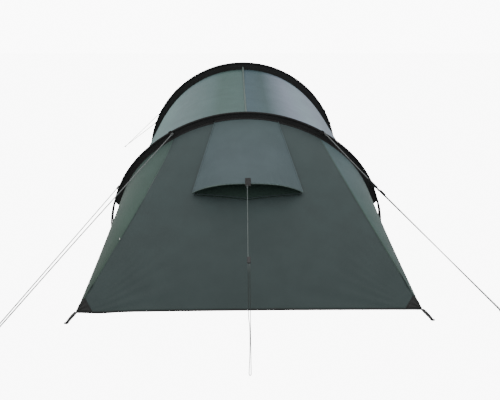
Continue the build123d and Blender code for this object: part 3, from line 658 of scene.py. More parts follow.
# ---------------- fly roof
def roof_point(side, u, v):
    """u from the ground to the ridge, v from the rear hoop to the front hoop."""
    hoop = between(v)
    spot, out = hoop.on_side(side, mix(ROOF_CLEARANCE, hoop.length / 2, u), FLY_INSET)
    from_rear, from_front = v * HOOPS_APART, (1 - v) * HOOPS_APART
    near_hoop = exp(-from_rear / PUCKER_RUN) + exp(-from_front / PUCKER_RUN)
    puckers = sin(u * 210 + 2 * ripple(spot, 0.2)) * 0.0011 * near_hoop
    waves = 0.0035 * ripple((spot.x * 3, spot.y * 0.55, spot.z * 3), 1.0, side) * sin(pi * v)
    slack = -0.006 * sin(pi * v) * sin(pi * u) ** 2
    fold = 0.0022 * ripple((spot.x, spot.y * 0.12, spot.z), 0.05, 3) * sin(pi * v) * (1 - u) ** 0.5
    above_foot = min(max((spot.z - DIP_FOOT_Z) / (DIP_FULL_Z - DIP_FOOT_Z), 0.0), 1.0)
    dip = -FRONT_DIP * above_foot * exp(-from_front / DIP_RUN)
    return spot + out * (puckers + waves + slack + fold + dip)


for side, label in LABEL.items():
    panel(f"fly_roof_{label}", sample(lambda u, v: roof_point(side, u, v), 110, 90), f"roof_{label}",
          (f"roof_{label}",))

ridge = [between(v).at(between(v).length / 2, FLY_INSET - 0.0005) for v in np.linspace(0.002, 0.998, 80)]
ridge_line, ridge_out = zip(*ridge)
tape = strip_along("ridge_seam", ridge_line, ridge_out, 0.014, 0.0012, "gusset", slot="roof_fly")
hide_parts("ridge_tape")
stitches_along("ridge_stitches", [([p + Vector((shift, 0, 0.0012)) for p in ridge_line], ridge_out)
                                  for shift in (-0.0045, 0.0045)])


# ---------------- end panels and gussets
def hem_bow(end, share):
    """How far the bottom edge stands in from the line between the pegs: pulled up in the middle."""
    bow = 0.010 * (1 - share * share)
    if end == "rear":
        bow -= 0.014 * exp(-((share + 0.86) / 0.09) ** 2)
    return bow


SEAM_BOW = {-1: 0.027, 1: 0.004}
END_RUN = 1.2
SLEEVE_PULL_RUN = 0.04


def seam_bow(end, side, t):
    """How far a rear seam runs in from the straight line to its corner: most of it near the hoop."""
    if end == "front":
        return 0.0
    return SEAM_BOW[side] * sin(pi * min(max(t, 0.0), 1.0) ** 0.6)


def end_panel_point(end, s, t):
    """s from -1 at the left seam to 1 at the right, t from the hoop to the hem."""
    hoop, way, seam_x, corner_x = ENDS[end]
    radius = hoop.crown_radius - FLY_INSET
    half_turn = asin(seam_x / radius)
    top = Vector((radius * sin(s * half_turn), hoop.y, hoop.crown_z + radius * cos(s * half_turn)))
    low = Vector((s * corner_x, way * (HALF_LENGTH - hem_bow(end, s)), HEM_Z))
    spot = top.lerp(low, t)
    spot.x -= s * abs(s) ** 3 * seam_bow(end, -1 if s < 0 else 1, t)
    return spot


def near_sleeve(t):
    """1 at a sleeve, and fading over the first few centimetres of an end's cloth."""
    return exp(-t * END_RUN / SLEEVE_PULL_RUN)


def end_relief(end, s, t):
    """The cloth's own slackness over the ruled panel: a soft hollow and faint pulls towards the corners."""
    spot = end_panel_point(end, s, t)
    hollow = -0.008 * sin(pi * t) * (1 - s * s)
    corner = exp(-(((abs(s) - 1) / 0.5) ** 2 + ((t - 1) / 0.3) ** 2))
    pulls = 0.0016 * sin(38 * atan2(1.02 - t, 1.02 - abs(s))) * corner
    drift = 0.0022 * ripple((spot.x * 1.3, spot.y, spot.z), 0.35, 5) * sin(pi * t)
    puckers = 0.0007 * sin(s * 160) * near_sleeve(t)
    return hollow + pulls + drift + puckers


def end_panel_grid(end, left=-1.0, right=1.0, top=0.0, low=1.0, counts=(120, 110), lift=0.0):
    """An end panel, or the part of it within a range of s and a range of t, moved outward by lift."""
    points = sample(lambda u, v: end_panel_point(end, mix(left, right, u), mix(top, low, v)), *counts)
    depth = numbers(lambda u, v: end_relief(end, mix(left, right, u), mix(top, low, v)) + lift, *counts)
    return pushed(outward(points), depth)


def gusset_point(end, side, q, t):
    """q from the ground to the seam with the panel, t from the hoop to the corner."""
    if q > 0.999:
        return end_panel_point(end, side, t)
    hoop, way, seam_x, corner_x = ENDS[end]
    spot, _ = hoop.on_side(side, q * hoop.crown_station(seam_x, FLY_INSET), FLY_INSET)
    corner = Vector((side * corner_x, way * HALF_LENGTH, HEM_Z))
    spot = spot.lerp(corner + (spot - Vector((side * HALF_WIDTH, hoop.y, 0))) * 0.004, t)
    spot.x -= side * q ** 4 * seam_bow(end, side, t)
    return spot


def gusset_relief(side, q, t):
    """A gusset's slackness: a hollow in its middle, and small puckers below the sleeve."""
    hollow = -0.006 + 0.0025 * ripple((q * 3.0, t * 0.8, side), 0.5, 7)
    puckers = 0.0008 * sin(q * 150) * near_sleeve(t)
    return sin(pi * q) * (sin(pi * min(t, 0.999)) * hollow + puckers)


def gusset_grid(end, side, counts=(64, 80)):
    points = outward(sample(lambda q, t: gusset_point(end, side, q, t), *counts))
    return pushed(points, numbers(lambda q, t: gusset_relief(side, q, t), *counts))


def cut_region(outline, keep_inside=False):
    """A function that cuts a mesh along a convex outline seen from above, and removes what is inside it."""
    corners = [Vector(p) for p in outline]
    centre = sum(corners, Vector((0, 0))) / len(corners)

    def cut(mesh):
        made = bmesh.new()
        made.from_mesh(mesh)
        walls = []
        for first, second in zip(corners, corners[1:] + corners[:1]):
            run = second - first
            normal = Vector((run.y, -run.x, 0)).normalized()
            if normal.xy.dot(first - centre) < 0:
                normal.negate()
            walls.append((Vector((*first, 0)), normal))
            bmesh.ops.bisect_plane(made, geom=made.verts[:] + made.edges[:] + made.faces[:], dist=1e-6,
                                   plane_co=(*first, 0), plane_no=normal)
        doomed = []
        for face in made.faces:
            middle = face.calc_center_median()
            inside = all((middle - at).dot(normal) < 0 for at, normal in walls)
            if inside != keep_inside:
                doomed.append(face)
        bmesh.ops.delete(made, geom=doomed, context="FACES")
        made.to_mesh(mesh)
        made.free()

    return cut


def vent_outline(grow=0.0):
    """The vent seen from above, larger all round by about grow."""
    return [(-VENT_TOP_X - grow, VENT_TOP_Y + grow), (VENT_TOP_X + grow, VENT_TOP_Y + grow),
            (VENT_SIDE_X + grow, VENT_SIDE_Y - grow), (0, VENT_LOW_Y - grow),
            (-VENT_SIDE_X - grow, VENT_SIDE_Y - grow)]


panel("rear_panel_cloth", end_panel_grid("rear"), "slate", ("rear_panel",), cuts=cut_region(vent_outline()))
for side, label in LABEL.items():
    panel(f"rear_gusset_{label}_cloth", gusset_grid("rear", side), "gusset" if side < 0 else "gusset_right",
          (f"rear_gusset_{label}",))
    panel(f"front_gusset_{label}_cloth", gusset_grid("front", side), "gusset", (f"front_gusset_{label}",))
panel("vent_mesh_cloth", end_panel_grid("rear", -0.56, 0.56, 0.0, 0.54, (50, 50), lift=-0.008), "mesh",
      ("vent_mesh",), cuts=cut_region(vent_outline(0.012), keep_inside=True))

DOOR_TURN = radians(23)
DOOR_SHARE = DOOR_TURN / asin(FRONT_SEAM_X / (FRONT.crown_radius - FLY_INSET))
DOOR_TOP_Y = 1.405
DOOR_LOW_Y = HALF_LENGTH - 0.024
DOOR_GAP = 0.002


def door_t(y):
    """The share t of the front panel at a place along y."""
    return (y - FRONT_Y) / (HALF_LENGTH - FRONT_Y)


def door_outline(gap):
    """The doorway seen from above, smaller all round by the gap."""
    corners = []
    for s, y in ((DOOR_SHARE, DOOR_LOW_Y), (-DOOR_SHARE, DOOR_LOW_Y),
                 (-DOOR_SHARE, DOOR_TOP_Y), (DOOR_SHARE, DOOR_TOP_Y)):
        inward = -gap if s > 0 else gap
        shift = -gap if y == DOOR_LOW_Y else gap
        corners.append((end_panel_point("front", s, door_t(y)).x + inward, y + shift))
    return corners


panel("front_panel_cloth", end_panel_grid("front"), "slate", ("front_panel",),
      cuts=cut_region(door_outline(0)))
panel("front_door_cloth", end_panel_grid("front"), "slate", ("front_door",), "front_door",
      cuts=cut_region(door_outline(DOOR_GAP), keep_inside=True))

# Flaps behind the door's edges keep light out of the gap: each one's range of s, range of t, and grid
FLAP_SHARE = 0.022
FLAP_DEPTH = -0.006
door_low_t, door_top_t = door_t(DOOR_LOW_Y), door_t(DOOR_TOP_Y)
DOOR_FLAPS = {
    "sill": (-DOOR_SHARE, DOOR_SHARE, door_low_t - FLAP_SHARE, door_low_t + FLAP_SHARE, (70, 5)),
    "left": (-DOOR_SHARE - FLAP_SHARE, -DOOR_SHARE + FLAP_SHARE, door_top_t, door_low_t, (5, 70)),
    "right": (DOOR_SHARE - FLAP_SHARE, DOOR_SHARE + FLAP_SHARE, door_top_t, door_low_t, (5, 70)),
}
for label, place in DOOR_FLAPS.items():
    panel(f"door_flap_{label}", end_panel_grid("front", *place, lift=FLAP_DEPTH), "slate")

SEAM_STITCHES_OUT = 0.010


def seam(end, side):
    """The raised seam between a panel and a gusset. Gives the lines of its two rows of stitches."""
    shares = np.linspace(0.0, 0.985, 90)
    line = [end_panel_point(end, side, t) for t in shares]
    on_panel = [end_panel_point(end, side * 0.98, t) for t in shares]
    on_gusset = [gusset_point(end, side, 0.97, t) for t in shares]
    down = line[-1] - line[0]
    outs = []
    for spot, inside, outside in zip(line, on_panel, on_gusset):
        of_panel = facing((inside - spot).cross(down), UP)
        of_gusset = facing((outside - spot).cross(down), Vector((side, 0, 0)))
        outs.append((of_panel.normalized() + of_gusset.normalized()).normalized())
    strip_along(f"{end}_seam_{LABEL[side]}", line, outs, 0.006, 0.0007, "gusset")
    return [([spot + (other - spot).normalized() * SEAM_STITCHES_OUT + out * 0.0006
              for spot, other, out in zip(line, aside, outs)], outs) for aside in (on_panel, on_gusset)]


stitches_along("seam_stitches", [row for end in ENDS for side in LABEL for row in seam(end, side)])
tag = end_panel_point("rear", -1, 0.63) + Vector((-0.003, -0.003, 0.003))
tube_mesh("seam_tag", [tag + Vector((0.002, -0.009, -0.008)) * k for k in even(8)], 0.0022, "pale_tag")


# ---------------- vent hood
BRIM_RADIUS = (HOOD_CORNER.x ** 2 + BRIM_RISE ** 2) / (2 * BRIM_RISE)
BRIM_TURN = asin(HOOD_CORNER.x / BRIM_RADIUS)
BRIM_OUT = Vector((1, 0, 0)).cross(BRIM_SLOPE)


def brim_point(s, lift=0.0):
    """s from -1 at the left corner of the brim to 1 at the right."""
    across = BRIM_RADIUS * sin(s * BRIM_TURN)
    rise = BRIM_RISE * (1 - abs(across / HOOD_CORNER.x) ** BRIM_FLATNESS) + lift
    return Vector((across, HOOD_CORNER.y, HOOD_CORNER.z)) + BRIM_SLOPE * rise


def hood_point(s, t):
    """t from the sleeve to the brim."""
    radius = REAR.crown_radius - FLY_INSET + 0.0033
    angle = s * asin(HOOD_TOP_X / (REAR.crown_radius - FLY_INSET))
    top = Vector((radius * sin(angle), REAR_Y - 0.003, REAR.crown_z + radius * cos(angle)))
    return top.lerp(brim_point(s), t)


def hood_relief(s, t):
    """Slack cloth: hollow between the tab and the corners, with short folds by the left of the brim."""
    hollow = -0.007 * sin(pi * min(t * 0.9, 1)) * (1 - s * s)
    pull = 0.004 * exp(-((s / 0.25) ** 2 + ((t - 1) / 0.35) ** 2))
    folds = 0.0036 * sin(s * 46 + t * 9) * exp(-(((s + 0.52) / 0.22) ** 2 + ((t - 1) / 0.14) ** 2))
    edge = 0.0009 * sin(s * 120) * exp(-((t - 1) / 0.05) ** 2)
    drift = 0.002 * ripple((s * 1.6, t * 0.7, 0), 0.5, 11) * sin(pi * t)
    return hollow + pull + folds + edge + drift


hood_shape = (90, 70)
hood_points = outward(sample(lambda u, v: hood_point(2 * u - 1, v), *hood_shape))
hood_points = pushed(hood_points, numbers(lambda u, v: hood_relief(2 * u - 1, v), *hood_shape))
panel("vent_hood_cloth", hood_points, "hood", ("vent_hood",))
brim_line = [brim_point(s, 0.0005) + BRIM_OUT * 0.0024 for s in np.linspace(-1, 1, 120)]
brim_sizes = [0.0022 + 0.0004 * sin(s * 90) + 0.0022 * exp(-((s + 0.62) / 0.20) ** 2)
              for s in np.linspace(-1, 1, 120)]
brim = tube_mesh("vent_brim_roll", brim_line, brim_sizes, "brim_edge")
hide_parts("vent_brim")
for side, label in LABEL.items():
    shares = np.linspace(0.01, 1.0, 60)
    line = [hood_point(side * 0.992, t) + Vector((0, -0.0002, 0.0004)) for t in shares]
    inward = hood_point(0.9 * side, 0.5) - hood_point(side, 0.5)
    out = facing((line[0] - line[-1]).cross(inward).normalized(), UP)
    strip_along(f"hood_seam_{label}", line, [out] * len(line), 0.008, 0.0012, "hood")
    stitches_along(f"hood_stitches_{label}",
                   [([hood_point(side * 0.965, t) + out * 0.0012 for t in shares], [out] * len(line))])


def surface_out(end, s, t):
    """The outward direction of an end panel."""
    step = 0.01
    here = end_panel_point(end, s, t)
    out = (end_panel_point(end, s + step, t) - here).cross(end_panel_point(end, s, t - step) - here)
    return facing(out.normalized(), UP)


def on_rear_panel(x, y):
    """The place on the rear panel over a point of the ground, and the panel's outward direction."""
    t = (REAR_Y - y) / (HALF_LENGTH + REAR_Y)
    s = x / mix(REAR_SEAM_X, REAR_CORNER_X, t)
    for _ in range(4):  # the seams are bowed, so s is found in a few rounds
        s *= x / end_panel_point("rear", s, t).x if abs(x) > 1e-6 else 1
    out = surface_out("rear", s, t)
    return end_panel_point("rear", s, t) + out * (end_relief("rear", s, t) + 0.0006), out


EDGE_CORNERS = [Vector(spot) for spot in ((-VENT_SIDE_X, VENT_SIDE_Y), (0, VENT_LOW_Y),
                                          (VENT_SIDE_X, VENT_SIDE_Y))]
vent_edge = [on_rear_panel(*first.lerp(second, k / 24))
             for first, second in zip(EDGE_CORNERS, EDGE_CORNERS[1:]) for k in range(24)]
vent_edge.append(on_rear_panel(*EDGE_CORNERS[-1]))
strip_along("vent_edge_binding", *zip(*vent_edge), 0.008, 0.0010, "slate")


# ---------------- black binding under the rear sleeve
BINDING_SHARE = 0.006
HOOD_BINDING_SHARE = 0.012
BINDING_WIDTH = 0.015


def bound_edge(name, places):
    """Black tape along an edge: places are (spot, outward direction) pairs."""
    strip_along(name, *zip(*places), BINDING_WIDTH, 0.0014, "black")


def panel_top(s):
    out = surface_out("rear", s, 0.02)
    return end_panel_point("rear", s, BINDING_SHARE) + out * 0.0008, out


def gusset_top(side, q):
    spot = gusset_point("rear", side, q, BINDING_SHARE)
    down = gusset_point("rear", side, q, BINDING_SHARE + 0.02) - spot
    aside = gusset_point("rear", side, q - 0.01, BINDING_SHARE) - spot
    out = facing(down.cross(aside).normalized(), Vector((side, -0.4, 0.3)))
    return spot + out * 0.0008, out


def hood_top(s):
    spot = hood_point(s, HOOD_BINDING_SHARE)
    down = hood_point(s, 0.05) - spot
    aside = hood_point(s + 0.02, HOOD_BINDING_SHARE) - spot
    out = facing(down.cross(aside).normalized(), UP)
    return spot + out * (hood_relief(s, HOOD_BINDING_SHARE) + 0.0012), out


bound_edge("rear_panel_top_binding", [panel_top(s) for s in np.linspace(-1, 1, 120)])
for side, label in LABEL.items():
    bound_edge(f"rear_gusset_{label}_top_binding",
               [gusset_top(side, min(q, 0.998)) for q in np.linspace(0.02, 1.0, 90)])
bound_edge("hood_top_binding", [hood_top(s) for s in np.linspace(-1, 1, 60)])


# ---------------- sleeves
POLE_FOOT_Z = 0.040
POLE_SECTIONS = {"rear": 6, "front": 7}
SLEEVE_STEPS = 420
SLANT_OUTSIDE = 0.019
SLANT_INSIDE = -0.010


def sleeve_sheet(end):
    """The folded sleeve round a pole, and the doubled fin that joins it to the fly."""
    hoop = ENDS[end].hoop
    start = hoop.side_station(SLEEVE_FOOT_Z)
    fin = FIN_REACH[end] - SLEEVE_RADIUS
    fin_side = [(-mix(fin, SLEEVE_RADIUS * 0.98, k), mix(0.0016, 0.0034, k), 1 - k) for k in even(7)[:-1]]
    profile = [(radial, -forward, share) for radial, forward, share in fin_side]
    profile += [(SLEEVE_RADIUS * cos(a), SLEEVE_RADIUS * sin(a), 0)
                for a in np.linspace(radians(-152), radians(152), 19)]
    profile += fin_side[::-1]
    section = (hoop.length - 2 * POLE_FOOT_Z) / POLE_SECTIONS[end]
    ferrules = [POLE_FOOT_Z + section * k for k in range(1, POLE_SECTIONS[end])]
    rows = []
    for k, (radial, forward, fin_share) in enumerate(profile):
        row = []
        foot = start + mix(SLANT_OUTSIDE, SLANT_INSIDE, (SLEEVE_RADIUS - radial) / (SLEEVE_RADIUS + fin))
        for station in np.linspace(foot, hoop.length - foot, SLEEVE_STEPS):
            centre, out = hoop.at(station, SLEEVE_RADIUS)
            swell = 1 + 0.07 * ripple((station, k * 0.01, 0), 0.05, 2)
            swell += 0.10 * sum(exp(-((station - f) / 0.04) ** 2) for f in ferrules)
            gather = 0.0009 * sin(station * 2 * pi / 0.021 + 3 * ripple((station, 0, 0), 0.1, 4))
            gather += 0.0016 * ripple((station * 4, radial * 8, forward), 0.16, 6)
            wave = fin_share * gather + (0 if fin_share else 0.0003 * sin(station * 2 * pi / 0.027))
            reach = radial * (swell if radial > 0 or not fin_share else 1)
            row.append(centre + out * reach + Vector((0, forward * swell + wave, 0)))
        rows.append(row)
    rows = as_grid(rows)
    piece = link(f"{end}_sleeve_cloth", grid_mesh(f"{end}_sleeve_cloth", rows))
    finish_piece(piece, "black")
    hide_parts(f"{end}_sleeve")
    lines = []
    for way in (-1, 1):
        for inset in (SLEEVE_RADIUS * 2 + 0.003, FLY_INSET - 0.004):
            spots = [hoop.at(station, inset)[0] + Vector((0, way * 0.0042, 0))
                     for station in np.linspace(start, hoop.length - start, SLEEVE_STEPS)]
            lines.append((spots, [Vector((0, way, 0))] * SLEEVE_STEPS))
    stitches_along(f"{end}_sleeve_stitches", lines, spacing=0.007, radius=0.0005)


for end in ENDS:
    sleeve_sheet(end)


# ---------------- hems, patches and straps
def closed_band(name, rows, paint, replaces=(), body="tent", slot=None):
    """A closed tube from the rows of its profile, with flat ends."""
    piece = link(name, grid_mesh(name, as_grid(rows), closed=True))
    fill_ends(piece.data)
    finish_piece(piece, paint, body, slot)
    if replaces:
        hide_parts(*replaces)


def end_hem(end):
    """The turned black hem on the bottom edge of an end panel."""
    _, way, _, corner_x = ENDS[end]
    profile = [(-0.006, 0.0068), (0.000, 0.0074), (0.005, 0.0062), (0.0078, 0.0040), (0.0080, 0.0012),
               (0.0055, 0.0004), (-0.002, 0.0004), (-0.006, 0.0024)]
    rows = []
    for forward, height in profile:
        row = []
        for s in np.linspace(-1, 1, 260):
            lift = (0.0008 * sin(s * 55) + 0.0012 * ripple((s, 0, 0), 0.12, 9)) * (height / 0.007)
            row.append(Vector((s * corner_x, way * (HALF_LENGTH - hem_bow(end, s) + forward),
                               max(height + lift, 0.0003))))
        rows.append(row)
    closed_band(f"{end}_hem_band", rows, "black", (f"{end}_hem",))


for end in ENDS:
    end_hem(end)
for side, label in LABEL.items():
    profile = [(-0.0012, 0.0125), (0.0012, 0.0132), (0.0024, 0.0100), (0.0026, 0.0030), (0.0012, 0.0003),
               (-0.0012, 0.0003), (-0.0022, 0.0060)]
    line = [(HALF_WIDTH - FLY_INSET + 0.0015 * ripple((0, y, 0), 0.2, side), y)
            for y in np.linspace(REAR_Y + 0.002, FRONT_Y - 0.002, 160)]
    rows = [[Vector((side * (x + outwards), y, height)) for x, y in line] for outwards, height in profile]
    closed_band(f"side_hem_{label}", rows, "black", ("side_hems",) if side < 0 else ())


def gusset_hem(end, side):
    """The hem along the ground edge of a gusset."""
    line = [gusset_point(end, side, 0.0, t) for t in np.linspace(0.002, 0.998, 90)]
    profile = [(-0.0014, 0.0118), (0.0014, 0.0124), (0.0024, 0.0090), (0.0026, 0.0030), (0.0012, 0.0003),
               (-0.0014, 0.0003)]
    rows = [[p + Vector((side * a, 0, b - p.z)) for p in line] for a, b in profile]
    closed_band(f"{end}_gusset_hem_{LABEL[side]}", rows, "black")


for end in ENDS:
    for side in LABEL:
        gusset_hem(end, side)

PATCH_RUN = 0.084
PATCH_RISE = 0.088


def patch_top_t(end, side):
    """The share t of a seam at which the corner patch ends."""
    return 1 - PATCH_RISE / (end_panel_point(end, side, 0) - end_panel_point(end, side, 1)).length


def corner_patch(end, side):
    """A doubled triangle of cloth sewn over the corner, with pleats that run out from the corner."""
    low_s = side * (1 - PATCH_RUN / ENDS[end].corner_x)
    corner = end_panel_point(end, side, 0.998)
    top = end_panel_point(end, side * 0.998, patch_top_t(end, side))
    low = end_panel_point(end, low_s, 0.998)
    out = surface_out(end, side * 0.99, 0.97)

    def pleated(u, v):
        v = mix(0.02, 1, v)
        pleat = 0.0022 * sin(u * 15.5 + 1.0) * sin(pi * min(v, 0.97)) ** 0.6
        bulge = 0.0035 * sin(pi * u) * (1 - 0.4 * v)
        return corner + ((top - corner) * (1 - u) + (low - corner) * u) * v + out * (0.0016 + pleat + bulge)

    name = f"{end}_corner_patch_{LABEL[side]}"
    first = (end, side) == ("rear", -1)
    panel(name, sample(pleated, 26, 22), "patch", ("corner_patches",) if first else ())
    rim = [top.lerp(low, k) + out * 0.0030 for k in np.linspace(0.02, 0.98, 40)]
    strip_along(name + "_edge", rim, [out] * len(rim), 0.006, 0.0014, "patch")


def corner_wrap(end, side):
    """The same patch folded over the seam on to the gusset."""
    top_t = patch_top_t(end, side)

    def wrapped(u, v):
        t = mix(top_t, 0.994, u)
        q = 1 - v * (t - top_t) / (1 - top_t) * 0.999
        return gusset_point(end, side, min(q, 0.998), t) + Vector((side * 0.0018, 0, 0.0006))

    panel(f"{end}_corner_wrap_{LABEL[side]}", sample(wrapped, 24, 14), "patch")


for end in ENDS:
    for side in LABEL:
        corner_patch(end, side)
        corner_wrap(end, side)


def webbing_run(name, line, width, up, thickness=0.0018, paint="webbing", **finish):
    """A flat woven strap along a line, with rounded edges."""
    line = as_line(line)
    ahead = np.gradient(line, axis=0)
    ahead /= np.linalg.norm(ahead, axis=1, keepdims=True)
    side = as_line(Vector(way).cross(Vector(up)).normalized() for way in ahead)
    normal = np.cross(side, ahead)
    profile = [(-0.5, 0.0), (-0.47, 0.8), (-0.30, 1.0), (-0.1, 1.05), (0.1, 1.05), (0.30, 1.0), (0.47, 0.8),
               (0.5, 0.0), (0.47, -0.8), (0.30, -1.0), (0.0, -1.0), (-0.30, -1.0), (-0.47, -0.8)]
    rows = [line + side * (a * width) + normal * (b * thickness / 2) for a, b in profile]
    closed_band(name, rows, paint, **finish)


STRAP_ROOT_Y = HALF_LENGTH + 0.006
STRAP_RING_Y = HALF_LENGTH + 0.1377
STRAP_SPREAD = 0.0178


def corner_strap(end, side):
    """The doubled strap from a corner of the tent to its ring: the lower run, and the upper run over it."""
    _, way, _, corner_x = ENDS[end]
    root = Vector((side * corner_x, way * STRAP_ROOT_Y, 0.003))
    ring = Vector((side * (corner_x + STRAP_SPREAD), way * STRAP_RING_Y, 0.0035))
    past_ring = (ring - root).normalized() * 0.012
    name = f"{end}_corner_strap_{LABEL[side]}"
    line = [root.lerp(ring + past_ring, k) + UP * (-0.0018 + 0.0030 * exp(-k * 6)) for k in even(70)]
    first = (end, side) == ("rear", -1)
    webbing_run(name, line, 0.017, UP, replaces=("corner_straps",) if first else ())
    upper = [root.lerp(ring - past_ring, k) + UP * (0.0008 + 0.0052 * sin(pi * k) ** 0.5 + 0.003 * (1 - k))
             for k in even(60)]
    webbing_run(name + "_upper", upper, 0.015, UP)


for side in LABEL:
    for end in ENDS:
        corner_strap(end, side)


# ---------------- door zip
ZIP_UP = Vector((0.10439, -0.418906, 0.902009))
ZIP_OUT = Vector((0, 0.906964, 0.421207))
ZIP_LOW = Vector((-0.474408, 1.86427, 0.004053))
ZIP_START = 0.045
ZIP_END = (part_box("door_zip")[1].z - ZIP_LOW.z) / ZIP_UP.z - 0.002
ZIP_PITCH = 0.0032
ZIP_SIDE = ZIP_UP.cross(ZIP_OUT).normalized()


def zip_parts():
    """The two tapes of the door zip, and its interlocked coils as rows of small teeth."""
    steps = np.linspace(ZIP_START, ZIP_END, 120)
    for shift, label in ((-0.0052, "outer"), (0.0052, "inner")):
        line = [ZIP_LOW + ZIP_UP * d + ZIP_SIDE * shift + ZIP_OUT * 0.0004 for d in steps]
        webbing_run(f"door_zip_tape_{label}", line, 0.010, ZIP_OUT, 0.0010, "black", body="front_door",
                    slot="zip", replaces=("door_zip",) if label == "outer" else ())
    vertices, faces = [], []
    half = (ZIP_SIDE * 0.0026, ZIP_UP * 0.0011, ZIP_OUT * 0.0010)
    for number in range(int((ZIP_END - ZIP_START) / ZIP_PITCH)):
        shift = -0.0012 if number % 2 else 0.0012
        along = ZIP_START + ZIP_PITCH * (number + 0.5)
        middle = ZIP_LOW + ZIP_UP * along + ZIP_SIDE * shift + ZIP_OUT * 0.0012
        base = len(vertices)
        for c in (-1, 1):
            taper = 1.0 if c < 0 else 0.7
            for a, b in ((-1, -1), (1, -1), (1, 1), (-1, 1)):
                vertices.append((middle + half[0] * (a * taper) + half[1] * (b * taper) + half[2] * c)[:])
        faces += [tuple(base + k for k in f) for f in ((0, 3, 2, 1), (4, 5, 6, 7), (0, 1, 5, 4), (1, 2, 6, 5),
                                                       (2, 3, 7, 6), (3, 0, 4, 7))]
    teeth = link("door_zip_teeth", new_mesh("door_zip_teeth", vertices, faces))
    finish_piece(teeth, "plastic", "front_door", "zip", smooth=False)


zip_parts()


# ---------------- inner tent
INNER_INSET = 0.112
WALL_START = 0.082
TRAY_WALL = 0.074
inner_low, inner_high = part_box("groundsheet")
INNER_FRONT_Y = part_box("inner_canopy")[1].y
DOORWAY_HALF = 0.310
DOORWAY_LOW = 0.092
DOORWAY_SPRING = 0.560
INNER_SHARE = (INNER_FRONT_Y - REAR_Y) / HOOPS_APART


def inner_edge(hoop, u):
    """The canopy's line on one hoop line, from wall to wall, and its outward direction."""
    return hoop.at(mix(WALL_START, hoop.length - WALL_START, u), INNER_INSET)


def tray_edge(u, y, height):
    """A point over the tray's edge, from one side wall to the other."""
    return Vector((mix(inner_high.x, inner_low.x, u) * 0.998, y, height))


def canopy_point(u, v):
    """u across the tent from wall to wall, v from the rear hoop to the inner tent's front wall."""
    spot, out = inner_edge(between(v * INNER_SHARE), u)
    scallop = 0.006 * sin(pi * v) * (1 - cos(u * 2 * pi * 10 / 3)) / 2
    return spot - out * (scallop + 0.002 * ripple(spot, 0.3, 8))


panel("inner_canopy_cloth", sample(canopy_point, 110, 60), "inner", ("inner_canopy",))


def inner_back_point(u, v):
    """The inner tent's sloping rear wall, from the rear hoop down to the tray's edge."""
    top, _ = inner_edge(REAR, u)
    slack = 0.004 * ripple((u * 2, v, 0), 0.4, 12) * sin(pi * v)
    return top.lerp(tray_edge(u, inner_low.y + 0.004, 0.080), v) + Vector((0, slack, 0))


panel("inner_rear_wall_cloth", sample(inner_back_point, 90, 50), "inner", ("inner_rear_wall",))


def inner_front_wall():
    """The inner tent's upright front wall round its arched doorway, and the door that fills it."""
    hoop = between(INNER_SHARE)
    y = INNER_FRONT_Y + 0.001
    turns = even(97)

    def rim(k, gap=0.0):
        """The doorway's outline: k goes from its lower right corner up, over the arch and down."""
        wide = DOORWAY_HALF - gap
        straight = DOORWAY_SPRING - DOORWAY_LOW - gap
        total = 2 * straight + pi * wide
        along = k * total
        if along < straight:
            return Vector((wide, 0, DOORWAY_LOW + gap + along))
        if along > total - straight:
            return Vector((-wide, 0, DOORWAY_LOW + gap + total - along))
        angle = (along - straight) / wide
        return Vector((wide * cos(angle), 0, DOORWAY_SPRING + wide * sin(angle)))

    points = []
    for k in turns:
        edge, _ = inner_edge(hoop, k)
        edge.y = 0
        points.append([rim(k).lerp(edge, v) + Vector((0, y, 0)) for v in even(24)])
    panel("inner_front_wall_cloth", as_grid(points), "inner", ("inner_front_wall",))
    panel("inner_sill_cloth", sample(lambda u, v: tray_edge(u, y, mix(TRAY_WALL, DOORWAY_LOW, v)), 60, 6),
          "inner")
    door = [[Vector((0, 0, DOORWAY_LOW + 0.004)).lerp(rim(k, 0.003), v)
             + Vector((0, y + 0.004 * sin(pi * v) * ripple((k * 3, v, 0), 0.4, 3), 0))
             for v in np.linspace(0.03, 1, 24)] for k in turns]
    panel("inner_door_cloth", as_grid(door), "inner", ("inner_door",), "inner_door")
    binding = [rim(k, -0.002) + Vector((0, y + 0.0012, 0)) for k in turns]
    strip_along("inner_doorway_binding", binding, [Vector((0, 1, 0))] * len(binding), 0.012, 0.0014, "black")


inner_front_wall()


